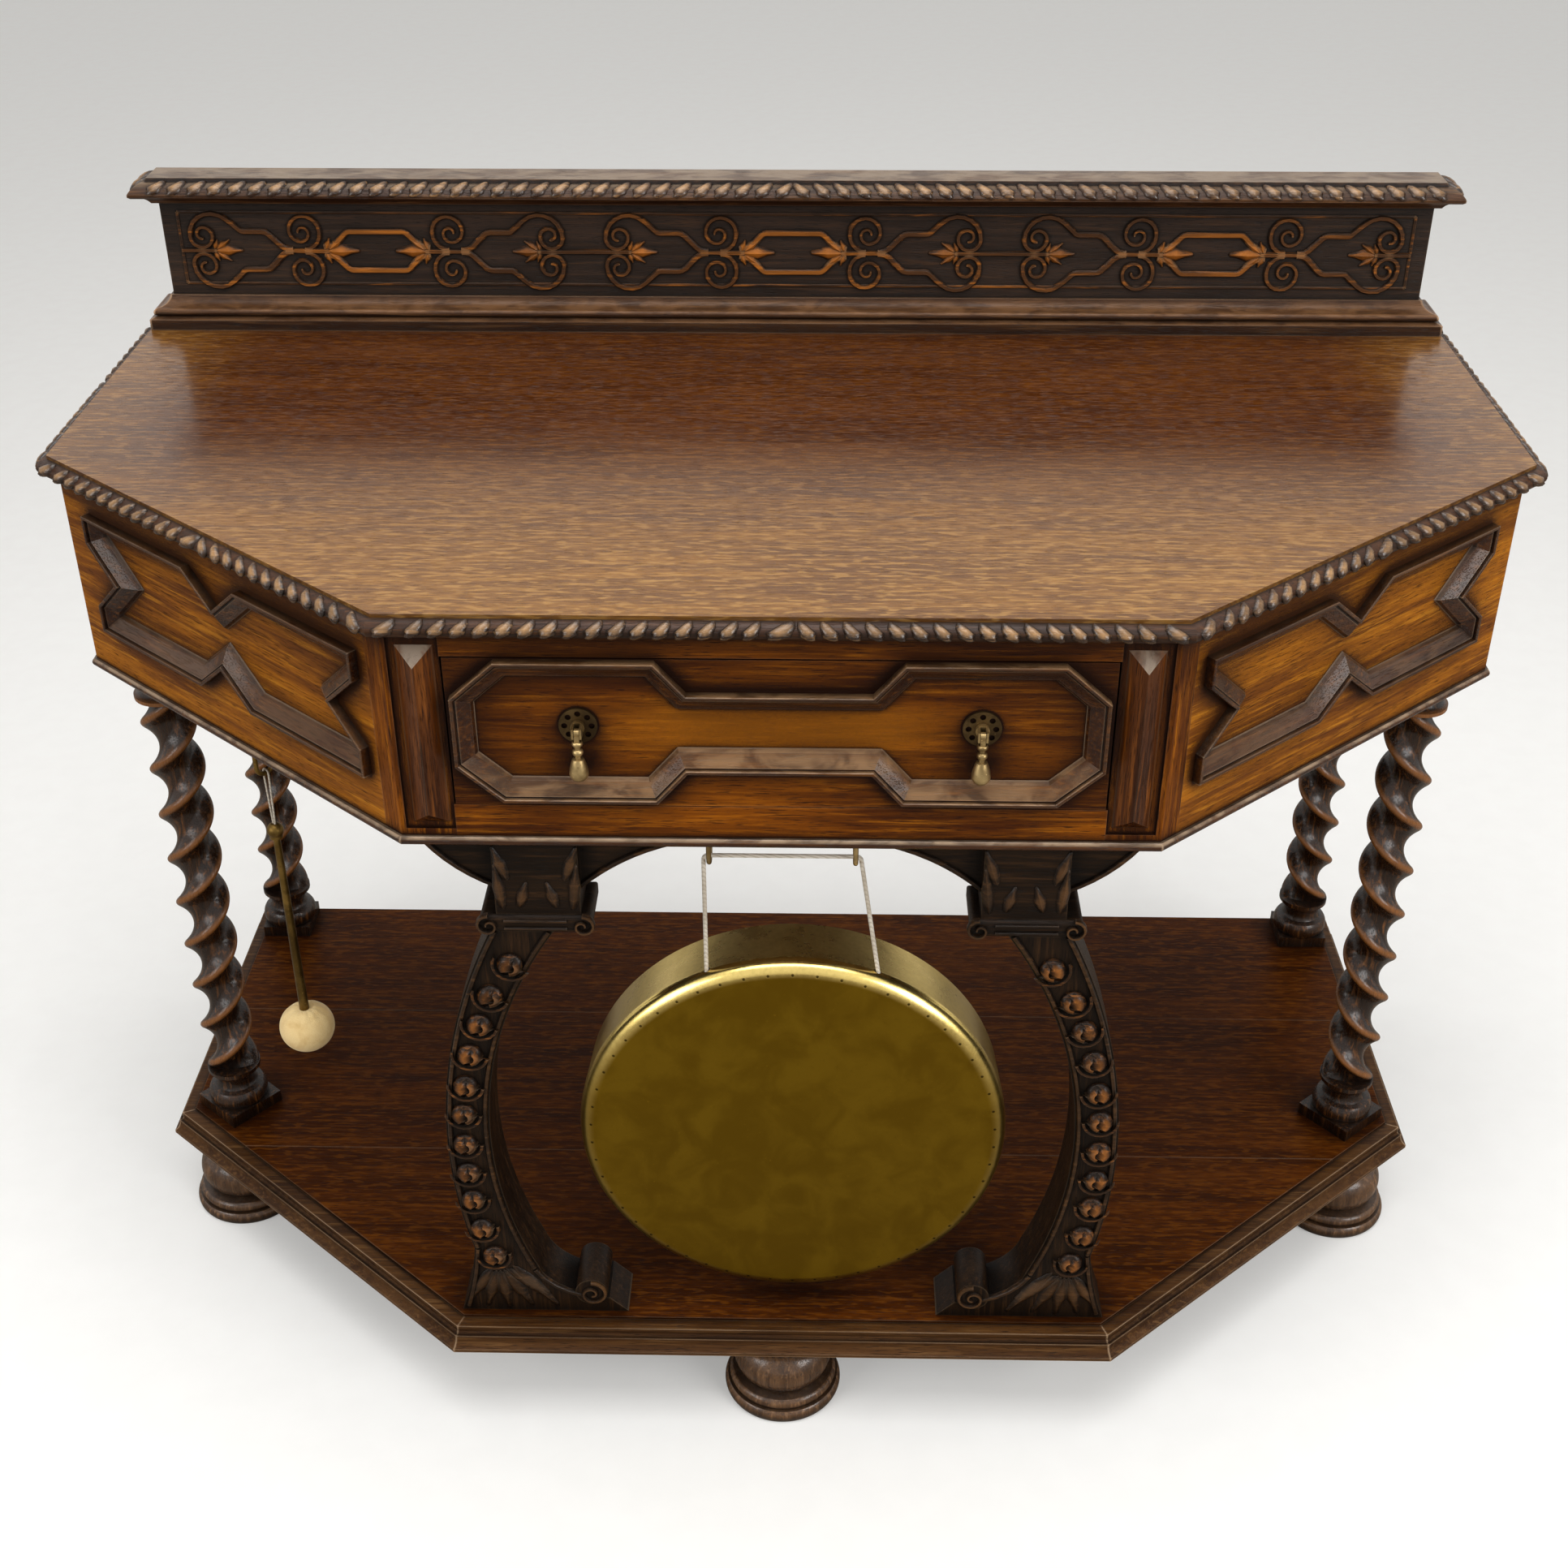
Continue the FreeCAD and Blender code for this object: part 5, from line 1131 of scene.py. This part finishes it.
@dataclass
class Gallery:
    """Strapwork, field border and rope moulding of the gallery."""

    face_y: float = 284.0
    middle_z: float = 869.0
    pitch: float = 379.0
    relief: float = 2.8
    strap: float = 6.0
    vine: float = 4.8
    bar: float = 4.6
    bar_start: float = 147.0
    field_half: float = 558.0
    field_low: float = 838.5
    field_high: float = 904.0
    rope_pitch: float = 18.1
    rope_half_count: int = 32
    rope_end_x: float = 573.0
    rope_seat: Point = (14.2, 928.8, 1.0)

    @property
    def repeats(self) -> tuple[float, float, float]:
        """Middles of the three repeats of the pattern."""
        return -self.pitch, 0.0, self.pitch

    def scrolls(self) -> Object:
        """Draw one quarter of a repeat, above the middle line and right of its centre."""
        Bench.clear()
        octagon = Stroke((0.0, 17.8), 0.0, self.strap, self.relief)
        octagon.run(24.0).arc(6.0, -45.0).run(13.0).arc(8.0, 35.0).run(7.0)
        vine = Stroke((66.0, 1.5), 180.0, self.vine, self.relief)
        vine.arc(14.5, -90.0).run(2.0).coil((14.0, 13.5, 10.0, 7.5, 5.5, 4.0))
        branch = Stroke((77.0, 0.8), 0.0, self.strap, self.relief)
        branch.run(2.0).arc(12.0, 45.0).run(15.0).arc(9.0, -45.0).run(16.0).arc(6.0, 42.0).taper(0.9)
        branch.run(14.0).arc(21.0, -132.0).taper(0.9).coil((10.0, 10.5, 8.0, 6.0, 4.5))
        Bench.pick(lambda place: abs(place.x) < 0.01)
        bpy.ops.mesh.delete(type="ONLY_FACE")
        quarter = Bench.close()
        Bench.modify(quarter, "MIRROR", use_axis=(True, False, True), merge_threshold=0.01)
        return quarter

    def bars(self) -> Object:
        """Draw the bars on the middle line."""
        Bench.clear()
        for unit in self.repeats:
            for side in (-1.0, 1.0):
                clasp = Stroke((unit + side * 44.0, 0.0), 90.0 - 90.0 * side, self.strap, self.relief + 0.2)
                clasp.run(40.0).taper(0.7)
        near, far, half = self.bar_start, self.pitch - self.bar_start, self.field_half
        for start, end in ((-half, -self.pitch - near), (-far, -near), (near, far),
                           (self.pitch + near, half)):
            Stroke((start, 0.0), 0.0, self.bar, self.relief).run(end - start)
        return Bench.close()

    def fleurs(self) -> Object:
        """Carve the pointed leaf sprays on the middle line."""
        blades = []
        for petal, root, turns in ((Petal(34.0, 13.5, 5.0), 0.0, (0.0,)),
                                   (Petal(21.0, 9.0, 4.4), 3.0, (-0.62, 0.62)),
                                   (Petal(13.0, 8.0, 4.0), 2.0, (-1.25, 1.25))):
            seat = Matrix.Translation((root, 0.0, 0.0))
            blades += Bench.copies(petal.model(), [seat @ Matrix.Rotation(turn, 4, "Z") for turn in turns])
        face = Matrix.Rotation(QUARTER_TURN, 4, "X")
        places = []
        for unit in self.repeats:
            for root, size in ((49.0, 1.0), (151.0, 0.85)):
                for side in (1.0, -1.0):
                    turn = Matrix.Rotation(math.pi if side > 0 else 0.0, 4, "Y")
                    seat = Matrix.Translation((unit + side * root, 0.0, 0.0))
                    places.append(seat @ turn @ face @ Matrix.Scale(size, 4))
        return Bench.join(Bench.copies(Bench.join(blades), places))

    def rubbing(self, x: float) -> float:
        """How bright the lines are rubbed: most round the middle of each repeat."""
        away = abs((x + 1.5 * self.pitch) % self.pitch - self.pitch / 2)
        return 0.78 if away < 42.0 else 0.62

    def strapwork(self) -> None:
        """Carve the strapwork of the panel."""
        units = Bench.copies(self.scrolls(), [Matrix.Translation((x, 0.0, 0.0)) for x in self.repeats])
        lines = Bench.join([*units, self.bars()])
        Bench.mark_rise(lines, lambda place: -self.rubbing(place.x) * place.y / self.relief)
        whole = Bench.join([lines, self.fleurs()])
        whole.data.transform(Matrix.Translation((0.0, self.face_y, self.middle_z)))
        Bench.finish(whole, "gallery_strapwork", STRAP_OAK, "oak_gallery")

    def border(self) -> None:
        """Lay the thin border round the carved field."""
        Bench.clear()
        low, high, half = self.field_low, self.field_high, self.field_half
        for start, heading, length in (((-half, low), 0.0, 2 * half), ((-half, high), 0.0, 2 * half),
                                       ((-half, low), 90.0, high - low), ((half, low), 90.0, high - low)):
            Stroke(start, heading, 3.0, 1.2).run(length)
        lines = Bench.close()
        Bench.mark_rise(lines, lambda place: -place.y / 2.4)
        lines.data.transform(Matrix.Translation((0.0, self.face_y, 0.0)))
        Bench.finish(lines, "gallery_field_border", STRAP_OAK, "oak_gallery")

    def rope(self) -> None:
        """Carve the rope along the slope of the cap, leaning both ways from the middle."""
        front = Slope((0.0, self.face_y), (1.0, 0.0), (0.0, -1.0), *self.rope_seat)
        places = [front.seat(hand * self.rope_pitch * (k + 0.5), -hand)
                  for k in range(self.rope_half_count) for hand in (-1.0, 1.0)]
        for side in (-1.0, 1.0):
            end = Slope((side * self.rope_end_x, self.face_y), (0.0, 1.0), (side, 0.0), *self.rope_seat)
            places += [end.seat(-2.0 + self.rope_pitch * k, 1.0) for k in range(2)]
        lobes = Bench.join(Bench.copies(Lobe(15.6, 17.8, 5.0, 9.0).model(), places))
        Bench.finish(lobes, "gallery_cap_rope", ROPE_OAK, "oak_edge", smooth=70.0)

    def build(self) -> None:
        """Carve the whole gallery."""
        self.strapwork()
        self.border()
        self.rope()


@dataclass
class TopEdge:
    """Edge moulding of the top: a plain core with leaning gadroons on its upper slope."""

    pitch: float = 15.4
    seat: Point = (6.7, 792.5, 0.75)
    middle_gap: float = 24.0
    end_gap: float = 22.0
    core: tuple[Flat, ...] = ((0.0, 784.0), (3.9, 784.0), (6.8, 785.6), (8.4, 788.0), (8.9, 790.0),
                              (8.6, 792.0), (7.2, 794.2), (4.4, 796.2), (1.2, 797.0), (0.0, 797.0))

    def corners(self, offset: float) -> list[Flat]:
        """Six plan corners of the edge, offset outwards."""
        lean = math.tan(CANT_ANGLE / 2)
        front = (FRONT_CORNER[0] + offset * lean, FRONT_CORNER[1] - offset)
        wide = (WIDE_CORNER[0] + offset, WIDE_CORNER[1] - offset * math.tan((QUARTER_TURN - CANT_ANGLE) / 2))
        right = [front, wide, (WIDE_CORNER[0] + offset, BACK_Y)]
        return [(-x, y) for x, y in reversed(right)] + right

    def lobes(self, start: Flat, end: Flat) -> list[Matrix]:
        """Places of the gadroons on one side: rows from the middle, wide ones at its ends and middle.

        Args:
            start: plan corner that the side starts at.
            end: plan corner that it ends at.

        Returns:
            The places.
        """
        length = math.dist(start, end)
        run = ((end[0] - start[0]) / length, (end[1] - start[1]) / length)
        middle = ((start[0] + end[0]) / 2, (start[1] + end[1]) / 2)
        slope = Slope(middle, run, (run[1], -run[0]), *self.seat)
        room = length / 2 - self.middle_gap / 2 - self.end_gap
        count = int(room / self.pitch)
        pitch = room / count
        places = []
        for hand in (-1.0, 1.0):
            places += [slope.seat(hand * (self.middle_gap / 2 + pitch * (k + 0.5)), -hand)
                       for k in range(count)]
            places.append(slope.seat(hand * (length / 2 - 0.4 * self.end_gap), -hand, 1.25))
        return [*places, slope.seat(0.0, 1.0, 1.5)]

    def build(self) -> None:
        """Lay the core and carve the gadroons on it."""
        Bench.clear()
        outlines = [self.corners(offset) for offset, _ in self.core]
        Bench.loft([[Vector((*plan, height)) for plan, (_, height) in zip(ring, self.core)]
                    for ring in zip(*outlines)])
        core = Bench.finish(Bench.close(), "top_edge_core", CORE_OAK, "oak_edge", smooth=30.0)
        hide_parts("top_edge_moulding")
        ends = self.corners(0.0)
        places = [place for start, end in zip(ends, ends[1:]) for place in self.lobes(start, end)]
        lobes = Bench.join(Bench.copies(Lobe(13.2, 14.2, 4.3, 6.5).model(), places))
        Bench.finish(lobes, "top_edge_gadroons", ROPE_OAK, "oak_edge", smooth=70.0)


@dataclass
class FrameMoulding:
    """Moulding round a sunk field: a rounded outer bead, a quirk and a long slope down to the field."""

    node: str
    body: str
    middle: Point
    run: Flat
    outline: Sequence[Flat]
    grain: Grain = Grain.ACROSS
    top_light: float = 0.2
    sunk: float = 5.0
    section: tuple[Flat, ...] = ((0.0, 0.0), (0.0, 12.3), (0.5, 12.9), (1.3, 13.0), (2.2, 12.8), (2.8, 12.1),
                                 (3.0, 9.7), (3.9, 9.6), (4.3, 10.1), (8.6, 7.2), (13.2, 3.9), (13.8, 3.6),
                                 (14.4, 2.6), (16.0, 0.0))

    def corner(self, number: int) -> list[Vector]:
        """Section in the mitre of one corner of the outline."""
        here = Vector(self.outline[number])
        run_in = (here - Vector(self.outline[number - 1])).normalized()
        run_out = (Vector(self.outline[(number + 1) % len(self.outline)]) - here).normalized()
        side = Vector((-run_in.y - run_out.y, run_in.x + run_out.x))
        across = Vector((*self.run, 0.0))
        out = Vector((self.run[1], -self.run[0], 0.0))
        ring = []
        for inset, height in self.section:
            spot = here + side * (2 * inset / side.length_squared)
            place = across * spot.x + out * (height - self.sunk) + Vector((0.0, 0.0, spot.y))
            ring.append(Vector(self.middle) + place)
        return ring

    def build(self) -> None:
        """Carry the section round the outline and close it on itself."""
        Bench.clear()
        rings = [self.corner(number) for number in range(len(self.outline))]
        Bench.loft([*rings, rings[0]])
        Bench.pick(lambda place: any((place - spot).length < 0.01 for spot in rings[0]))
        bpy.ops.mesh.delete(type="ONLY_FACE")
        bpy.ops.mesh.select_all(action="SELECT")
        bpy.ops.mesh.remove_doubles(threshold=0.01)
        finish = replace(MOULDING_OAK, name=f"oak_{self.node}", grain=self.grain, top_light=self.top_light)
        piece = Bench.finish(Bench.close(), f"{self.node}_run", finish, "oak_moulding", self.body, 24.0)
        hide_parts(self.node)


def frame_mouldings() -> list[FrameMoulding]:
    """Mouldings of the drawer front and of the two canted panels."""
    lobe = [(66.0, -32.0), (88.0, -57.5), (199.97, -57.5), (232.97, -28.0)]
    lobe += [(u, -v) for u, v in reversed(lobe)]
    drawer = lobe + [(-u, -v) for u, v in lobe]
    quarter = [(140.19, 0.0), (172.19, 28.0), (172.19, 52.0), (33.0, 52.0), (0.0, 26.0)]
    upper = quarter + [(-u, v) for u, v in reversed(quarter[:-1])]
    cant = upper + [(-u, -v) for u, v in upper[1:-1]]
    across, along = math.cos(CANT_ANGLE), math.sin(CANT_ANGLE)
    return [
        FrameMoulding("drawer_front_moulding", "drawer", (0.0, -293.0, 704.75), (1.0, 0.0), drawer,
                      top_light=0.7),
        FrameMoulding("left_cant_moulding", "table", (-430.36, -162.24, 707.0), (across, -along), cant,
                      Grain.LEFT_CANT),
        FrameMoulding("right_cant_moulding", "table", (430.36, -162.24, 707.0), (across, along), cant,
                      Grain.RIGHT_CANT),
    ]


@dataclass
class BracketCarving:
    """Beads, rims, leaves and scrolls carved on one gong bracket and its capital.

    Points are (x, z) on the right bracket's face; leaves are (x, z, heading in degrees, length).
    """

    side: Side
    face_y: float = -282.0
    spandrel_y: float = -270.0
    collar_y: float = -285.0
    rim_height: float = 2.6
    crest: float = 3.4
    beads: tuple[Flat, ...] = ((210.0, 487.0), (228.0, 456.0), (239.0, 427.0), (249.0, 396.0), (255.0, 363.5),
                               (259.0, 333.6), (260.5, 301.0), (260.5, 269.5), (259.0, 239.0), (254.0, 206.0),
                               (246.0, 174.0))
    column_rims: tuple[tuple[Flat, Flat, Flat], ...] = (
        ((219.5, 519.0), (271.5, 272.4), (259.8, 184.0)), ((178.0, 519.0), (242.5, 301.2), (213.0, 160.0)),
        ((212.5, 158.0), (195.5, 138.5), (172.0, 128.0)), ((259.8, 182.0), (265.5, 144.0), (273.0, 114.0)))
    spandrel_rims: tuple[tuple[Flat, Flat, Flat], ...] = (
        ((153.5, 553.5), (106.5, 585.3), (78.0, 595.5)), ((216.0, 553.5), (238.0, 565.5), (269.0, 595.5)))
    foot_leaves: tuple[tuple[float, ...], ...] = (
        (238.0, 158.0, -142.0, 48.0), (240.0, 157.0, -118.0, 50.0), (243.0, 156.0, -97.0, 47.0),
        (246.0, 156.0, -76.0, 46.0), (250.0, 158.0, -60.0, 44.0), (232.0, 162.0, -128.0, 62.0))
    capital_leaves: tuple[tuple[float, ...], ...] = (
        (158.0, 539.0, 96.0, 44.0), (211.0, 539.0, 84.0, 44.0), (163.0, 566.0, 108.0, 34.0),
        (206.0, 566.0, 72.0, 34.0), (170.0, 541.0, 74.0, 26.0), (199.0, 541.0, 106.0, 26.0))

    def seat(self, piece: Object, depth: float, name: str, finish: Oak, smooth: float = 40.0) -> None:
        """Move a carving of the right bracket to its face, mirrored for the left one, and finish it.

        Args:
            piece: the carving.
            depth: the face's y.
            name: the piece's name without its hand.
            finish: its looks.
            smooth: edges flatter than this many degrees shade smooth.
        """
        if self.side is Side.LEFT:
            piece.data.transform(Matrix.Scale(-1.0, 4, (1.0, 0.0, 0.0)))
            piece.data.flip_normals()
        piece.data.transform(Matrix.Translation((0.0, depth, 0.0)))
        Bench.finish(piece, f"{self.side.name.lower()}_{name}", finish, "oak_bracket", smooth=smooth)

    def seat_lines(self, depth: float, name: str) -> None:
        """Close the lines that were drawn and seat them on the face at that depth."""
        lines = Bench.close()
        Bench.mark_rise(lines, lambda place: -place.y / self.crest)
        self.seat(lines, depth, name, RIM_OAK)

    def bead(self) -> Object:
        """Model one bead: a split dome in a curled lip."""
        dome = 7.5
        Bench.ball(14, 8, (10.8, dome, 11.2), "X")
        Bench.pick(lambda place: abs(place.x) < 1.2 and place.y < -3.0)
        bpy.ops.transform.translate(value=(0.0, 3.4, 0.0))
        Stroke((-14.2, 2.0), -90.0, 4.0, 4.6, 1.0).arc(14.2, 90.0).arc(14.2, 90.0).taper(0.6)
        bead = Bench.close()
        Bench.mark_rise(bead, lambda place: -place.y / dome)
        return bead

    def bead_row(self) -> None:
        """Carve the row of beads down the column."""
        places = []
        for i, (x, z) in enumerate(self.beads):
            before, after = self.beads[max(0, i - 1)], self.beads[min(len(self.beads) - 1, i + 1)]
            tilt = math.atan2(after[0] - before[0], before[1] - after[1])
            places.append(Matrix.Translation((x, 0.0, z)) @ Matrix.Rotation(-tilt, 4, "Y"))
        row = Bench.join(Bench.copies(self.bead(), places))
        self.seat(row, self.face_y, "bracket_beads", BEAD_OAK, 60.0)

    def rims(self) -> None:
        """Raise the rims of the column, the foot's instep, the volute's scroll and the spandrels."""
        Bench.clear()
        for points in self.column_rims:
            Stroke.through(*points, 4.2, self.rim_height)
        Stroke((165.0, 144.5), 180.0, 3.6, 4.6, 1.0).coil((12.0, 10.5, 8.5, 6.5, 4.6, 3.2), 90.0, 0.95)
        self.seat_lines(self.face_y, "bracket_rims")
        Bench.clear()
        for points in self.spandrel_rims:
            Stroke.through(*points, 4.4, self.rim_height)
        self.seat_lines(self.spandrel_y, "spandrel_rims")

    def leaves(self) -> None:
        """Carve the leaf that spreads over the foot and the leaves of the capital."""
        face = Matrix.Rotation(QUARTER_TURN, 4, "X")
        blades = []
        for leaves, width, height in ((self.foot_leaves, 13.0, 3.6), (self.capital_leaves, 10.0, 3.4)):
            for x, z, heading, length in leaves:
                turn = Matrix.Rotation(-math.radians(heading), 4, "Y")
                place = Matrix.Translation((x, 0.0, z)) @ turn @ face
                blades += Bench.copies(Petal(length, width, height).model(), [place])
        self.seat(Bench.join(blades), self.face_y, "bracket_leaves", RIM_OAK, 50.0)

    def collar(self) -> None:
        """Carve the small scrolls and lines of the collar."""
        Bench.clear()
        for x, heading, turn in ((151.0, 180.0, 90.0), (223.0, 0.0, -90.0)):
            Stroke((x, 536.0), heading, 3.0, 3.2, 1.0).coil((8.2, 7.4, 5.8, 4.2, 2.8), turn, 0.95)
        for z in (531.0, 524.0):
            Stroke((163.0, z), 0.0, 2.6, 1.8, 1.0).run(48.0)
        self.seat_lines(self.collar_y, "collar_scrolls")

    def build(self) -> None:
        """Carve the whole bracket."""
        self.bead_row()
        self.rims()
        self.leaves()
        self.collar()


@dataclass
class BeaterHead:
    """Stuffed leather ball on the beater, gathered round the rod."""

    middle: float = 315.6
    radius: float = 24.5
    half_height: float = 23.0
    hide: float = 0.3
    gathers: int = 12

    def gathered(self, spot: Vector) -> bool:
        """Whether a point lies in a fold near the rod."""
        fold = round(math.atan2(spot.y, spot.x) / (math.pi / self.gathers)) % 2 == 0
        return spot.z > 0.62 * self.half_height and math.hypot(spot.x, spot.y) > 0.1 and fold

    def build(self) -> None:
        """Model the stuffed ball in place of its plain solid."""
        radius = self.radius - self.hide
        Bench.ball(2 * self.gathers, 16, (radius, radius, self.half_height - self.hide))
        Bench.pick(self.gathered)
        bpy.ops.transform.resize(value=(0.93, 0.93, 1.0), center_override=ORIGIN)
        bpy.ops.transform.translate(value=(0.0, 0.0, -0.9))
        Bench.pick(lambda spot: spot.z > 0.9 * self.half_height and math.hypot(spot.x, spot.y) < 7.0)
        bpy.ops.transform.translate(value=(0.0, 0.0, -2.6))
        Bench.pick(lambda spot: spot.z < -0.93 * self.half_height)
        bpy.ops.transform.translate(value=(0.0, 0.0, 0.8))
        ball = Bench.close()
        Bench.modify(ball, "SUBSURF", levels=2, render_levels=2)
        ball.data.transform(Matrix.Translation((*BEATER_AXIS, self.middle)))
        head = Bench.finish(ball, "beater_head_cover", PALE_LEATHER, "head_cream", "beater", 80.0)
        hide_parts("beater_head")


class Joinery:
    """Finishes of the solids that stay as they are."""

    LEG_AXES = {"left_front_leg": (-0.541, -0.014), "right_front_leg": (0.541, -0.014),
                "left_back_leg": (-0.558, 0.2845), "right_back_leg": (0.558, 0.2845)}

    @staticmethod
    def pairs(*names: str) -> list[str]:
        """Nodes of the left and right pieces of mirrored pairs."""
        return [f"{side.name.lower()}_{name}" for name in names for side in Side]

    @staticmethod
    def run(finish: Oak, grain: Grain) -> Oak:
        """The same finish with its grain another way."""
        return replace(finish, name=f"{finish.name}_{grain.name.lower()}", grain=grain)

    def finishes(self) -> list[tuple[Finish, list[str]]]:
        """Every finish with the nodes that wear it."""
        legs = [(replace(LEG_OAK, name=f"oak_{node}", axis=axis), [node])
                for node, axis in self.LEG_AXES.items()]
        return [
            (TOP_OAK, ["top_board"]),
            (CAP_OAK, ["gallery_cap"]),
            (BASE_OAK, ["gallery_base_moulding"]),
            (GALLERY_OAK, ["gallery_panel"]),
            (RAIL_OAK, ["front_top_rail", "front_bottom_rail", "back_rail"]),
            (DRAWER_OAK, ["drawer_front"]),
            (self.run(FRIEZE_OAK, Grain.UPRIGHT), self.pairs("front_post")),
            (self.run(LIT_CANT_OAK, Grain.LEFT_CANT), ["left_cant_panel"]),
            (self.run(LIT_CANT_OAK, Grain.RIGHT_CANT), ["right_cant_panel"]),
            (self.run(FRIEZE_OAK, Grain.DEEP), self.pairs("end_panel")),
            (BEAD_LINE_OAK, ["frieze_bead"]),
            (HIP_OAK, self.pairs("hip_block")),
            (SHELF_OAK, ["back_shelf_board", "middle_shelf_board", "front_shelf_board"]),
            (RIM_SHELF_OAK, ["shelf_edge_moulding"]),
            (self.run(FOOT_OAK, Grain.UPRIGHT), ["front_foot", *self.pairs("foot", "back_foot")]),
            (self.run(BRACKET_OAK, Grain.UPRIGHT), self.pairs("gong_bracket")),
            (BRACKET_OAK, self.pairs("bracket_capital", "bracket_spandrels")),
            (INSIDE_OAK, ["gallery_dowels", "corner_blocks", "drawer_back", "drawer_bottom"]),
            (self.run(INSIDE_OAK, Grain.DEEP),
             ["drawer_kickers", *self.pairs("drawer_runner", "drawer_side")]),
            (GONG_BRASS, ["gong_bowl"]),
            (PIERCED_BRASS, ["pull_rosettes"]),
            (OLD_BRASS, ["pull_studs", "gong_hooks", *self.pairs("drop")]),
            (ROD_BRASS, ["beater_rod", "beater_hook"]),
            *legs,
        ]

    def dress(self) -> None:
        """Put every finish on its nodes."""
        for finish, nodes in self.finishes():
            material = finish.material()
            for node in nodes:
                data = frame["nodes"][node].data
                data.materials.clear()
                data.materials.append(material)
                LOG.info("%s: %s", node, finish.name)


def main() -> None:
    """Build the looks in order: camera and cords, carving, finishes, studio."""
    logging.basicConfig(level=logging.INFO, format="%(name)s: %(message)s")
    studio = Studio()
    studio.camera()
    Cords().build()
    Gallery().build()
    TopEdge().build()
    for moulding in frame_mouldings():
        moulding.build()
    for side in Side:
        BracketCarving(side).build()
    BeaterHead().build()
    Joinery().dress()
    studio.light()
    studio.lay_floor()


if __name__ == "__main__":
    main()
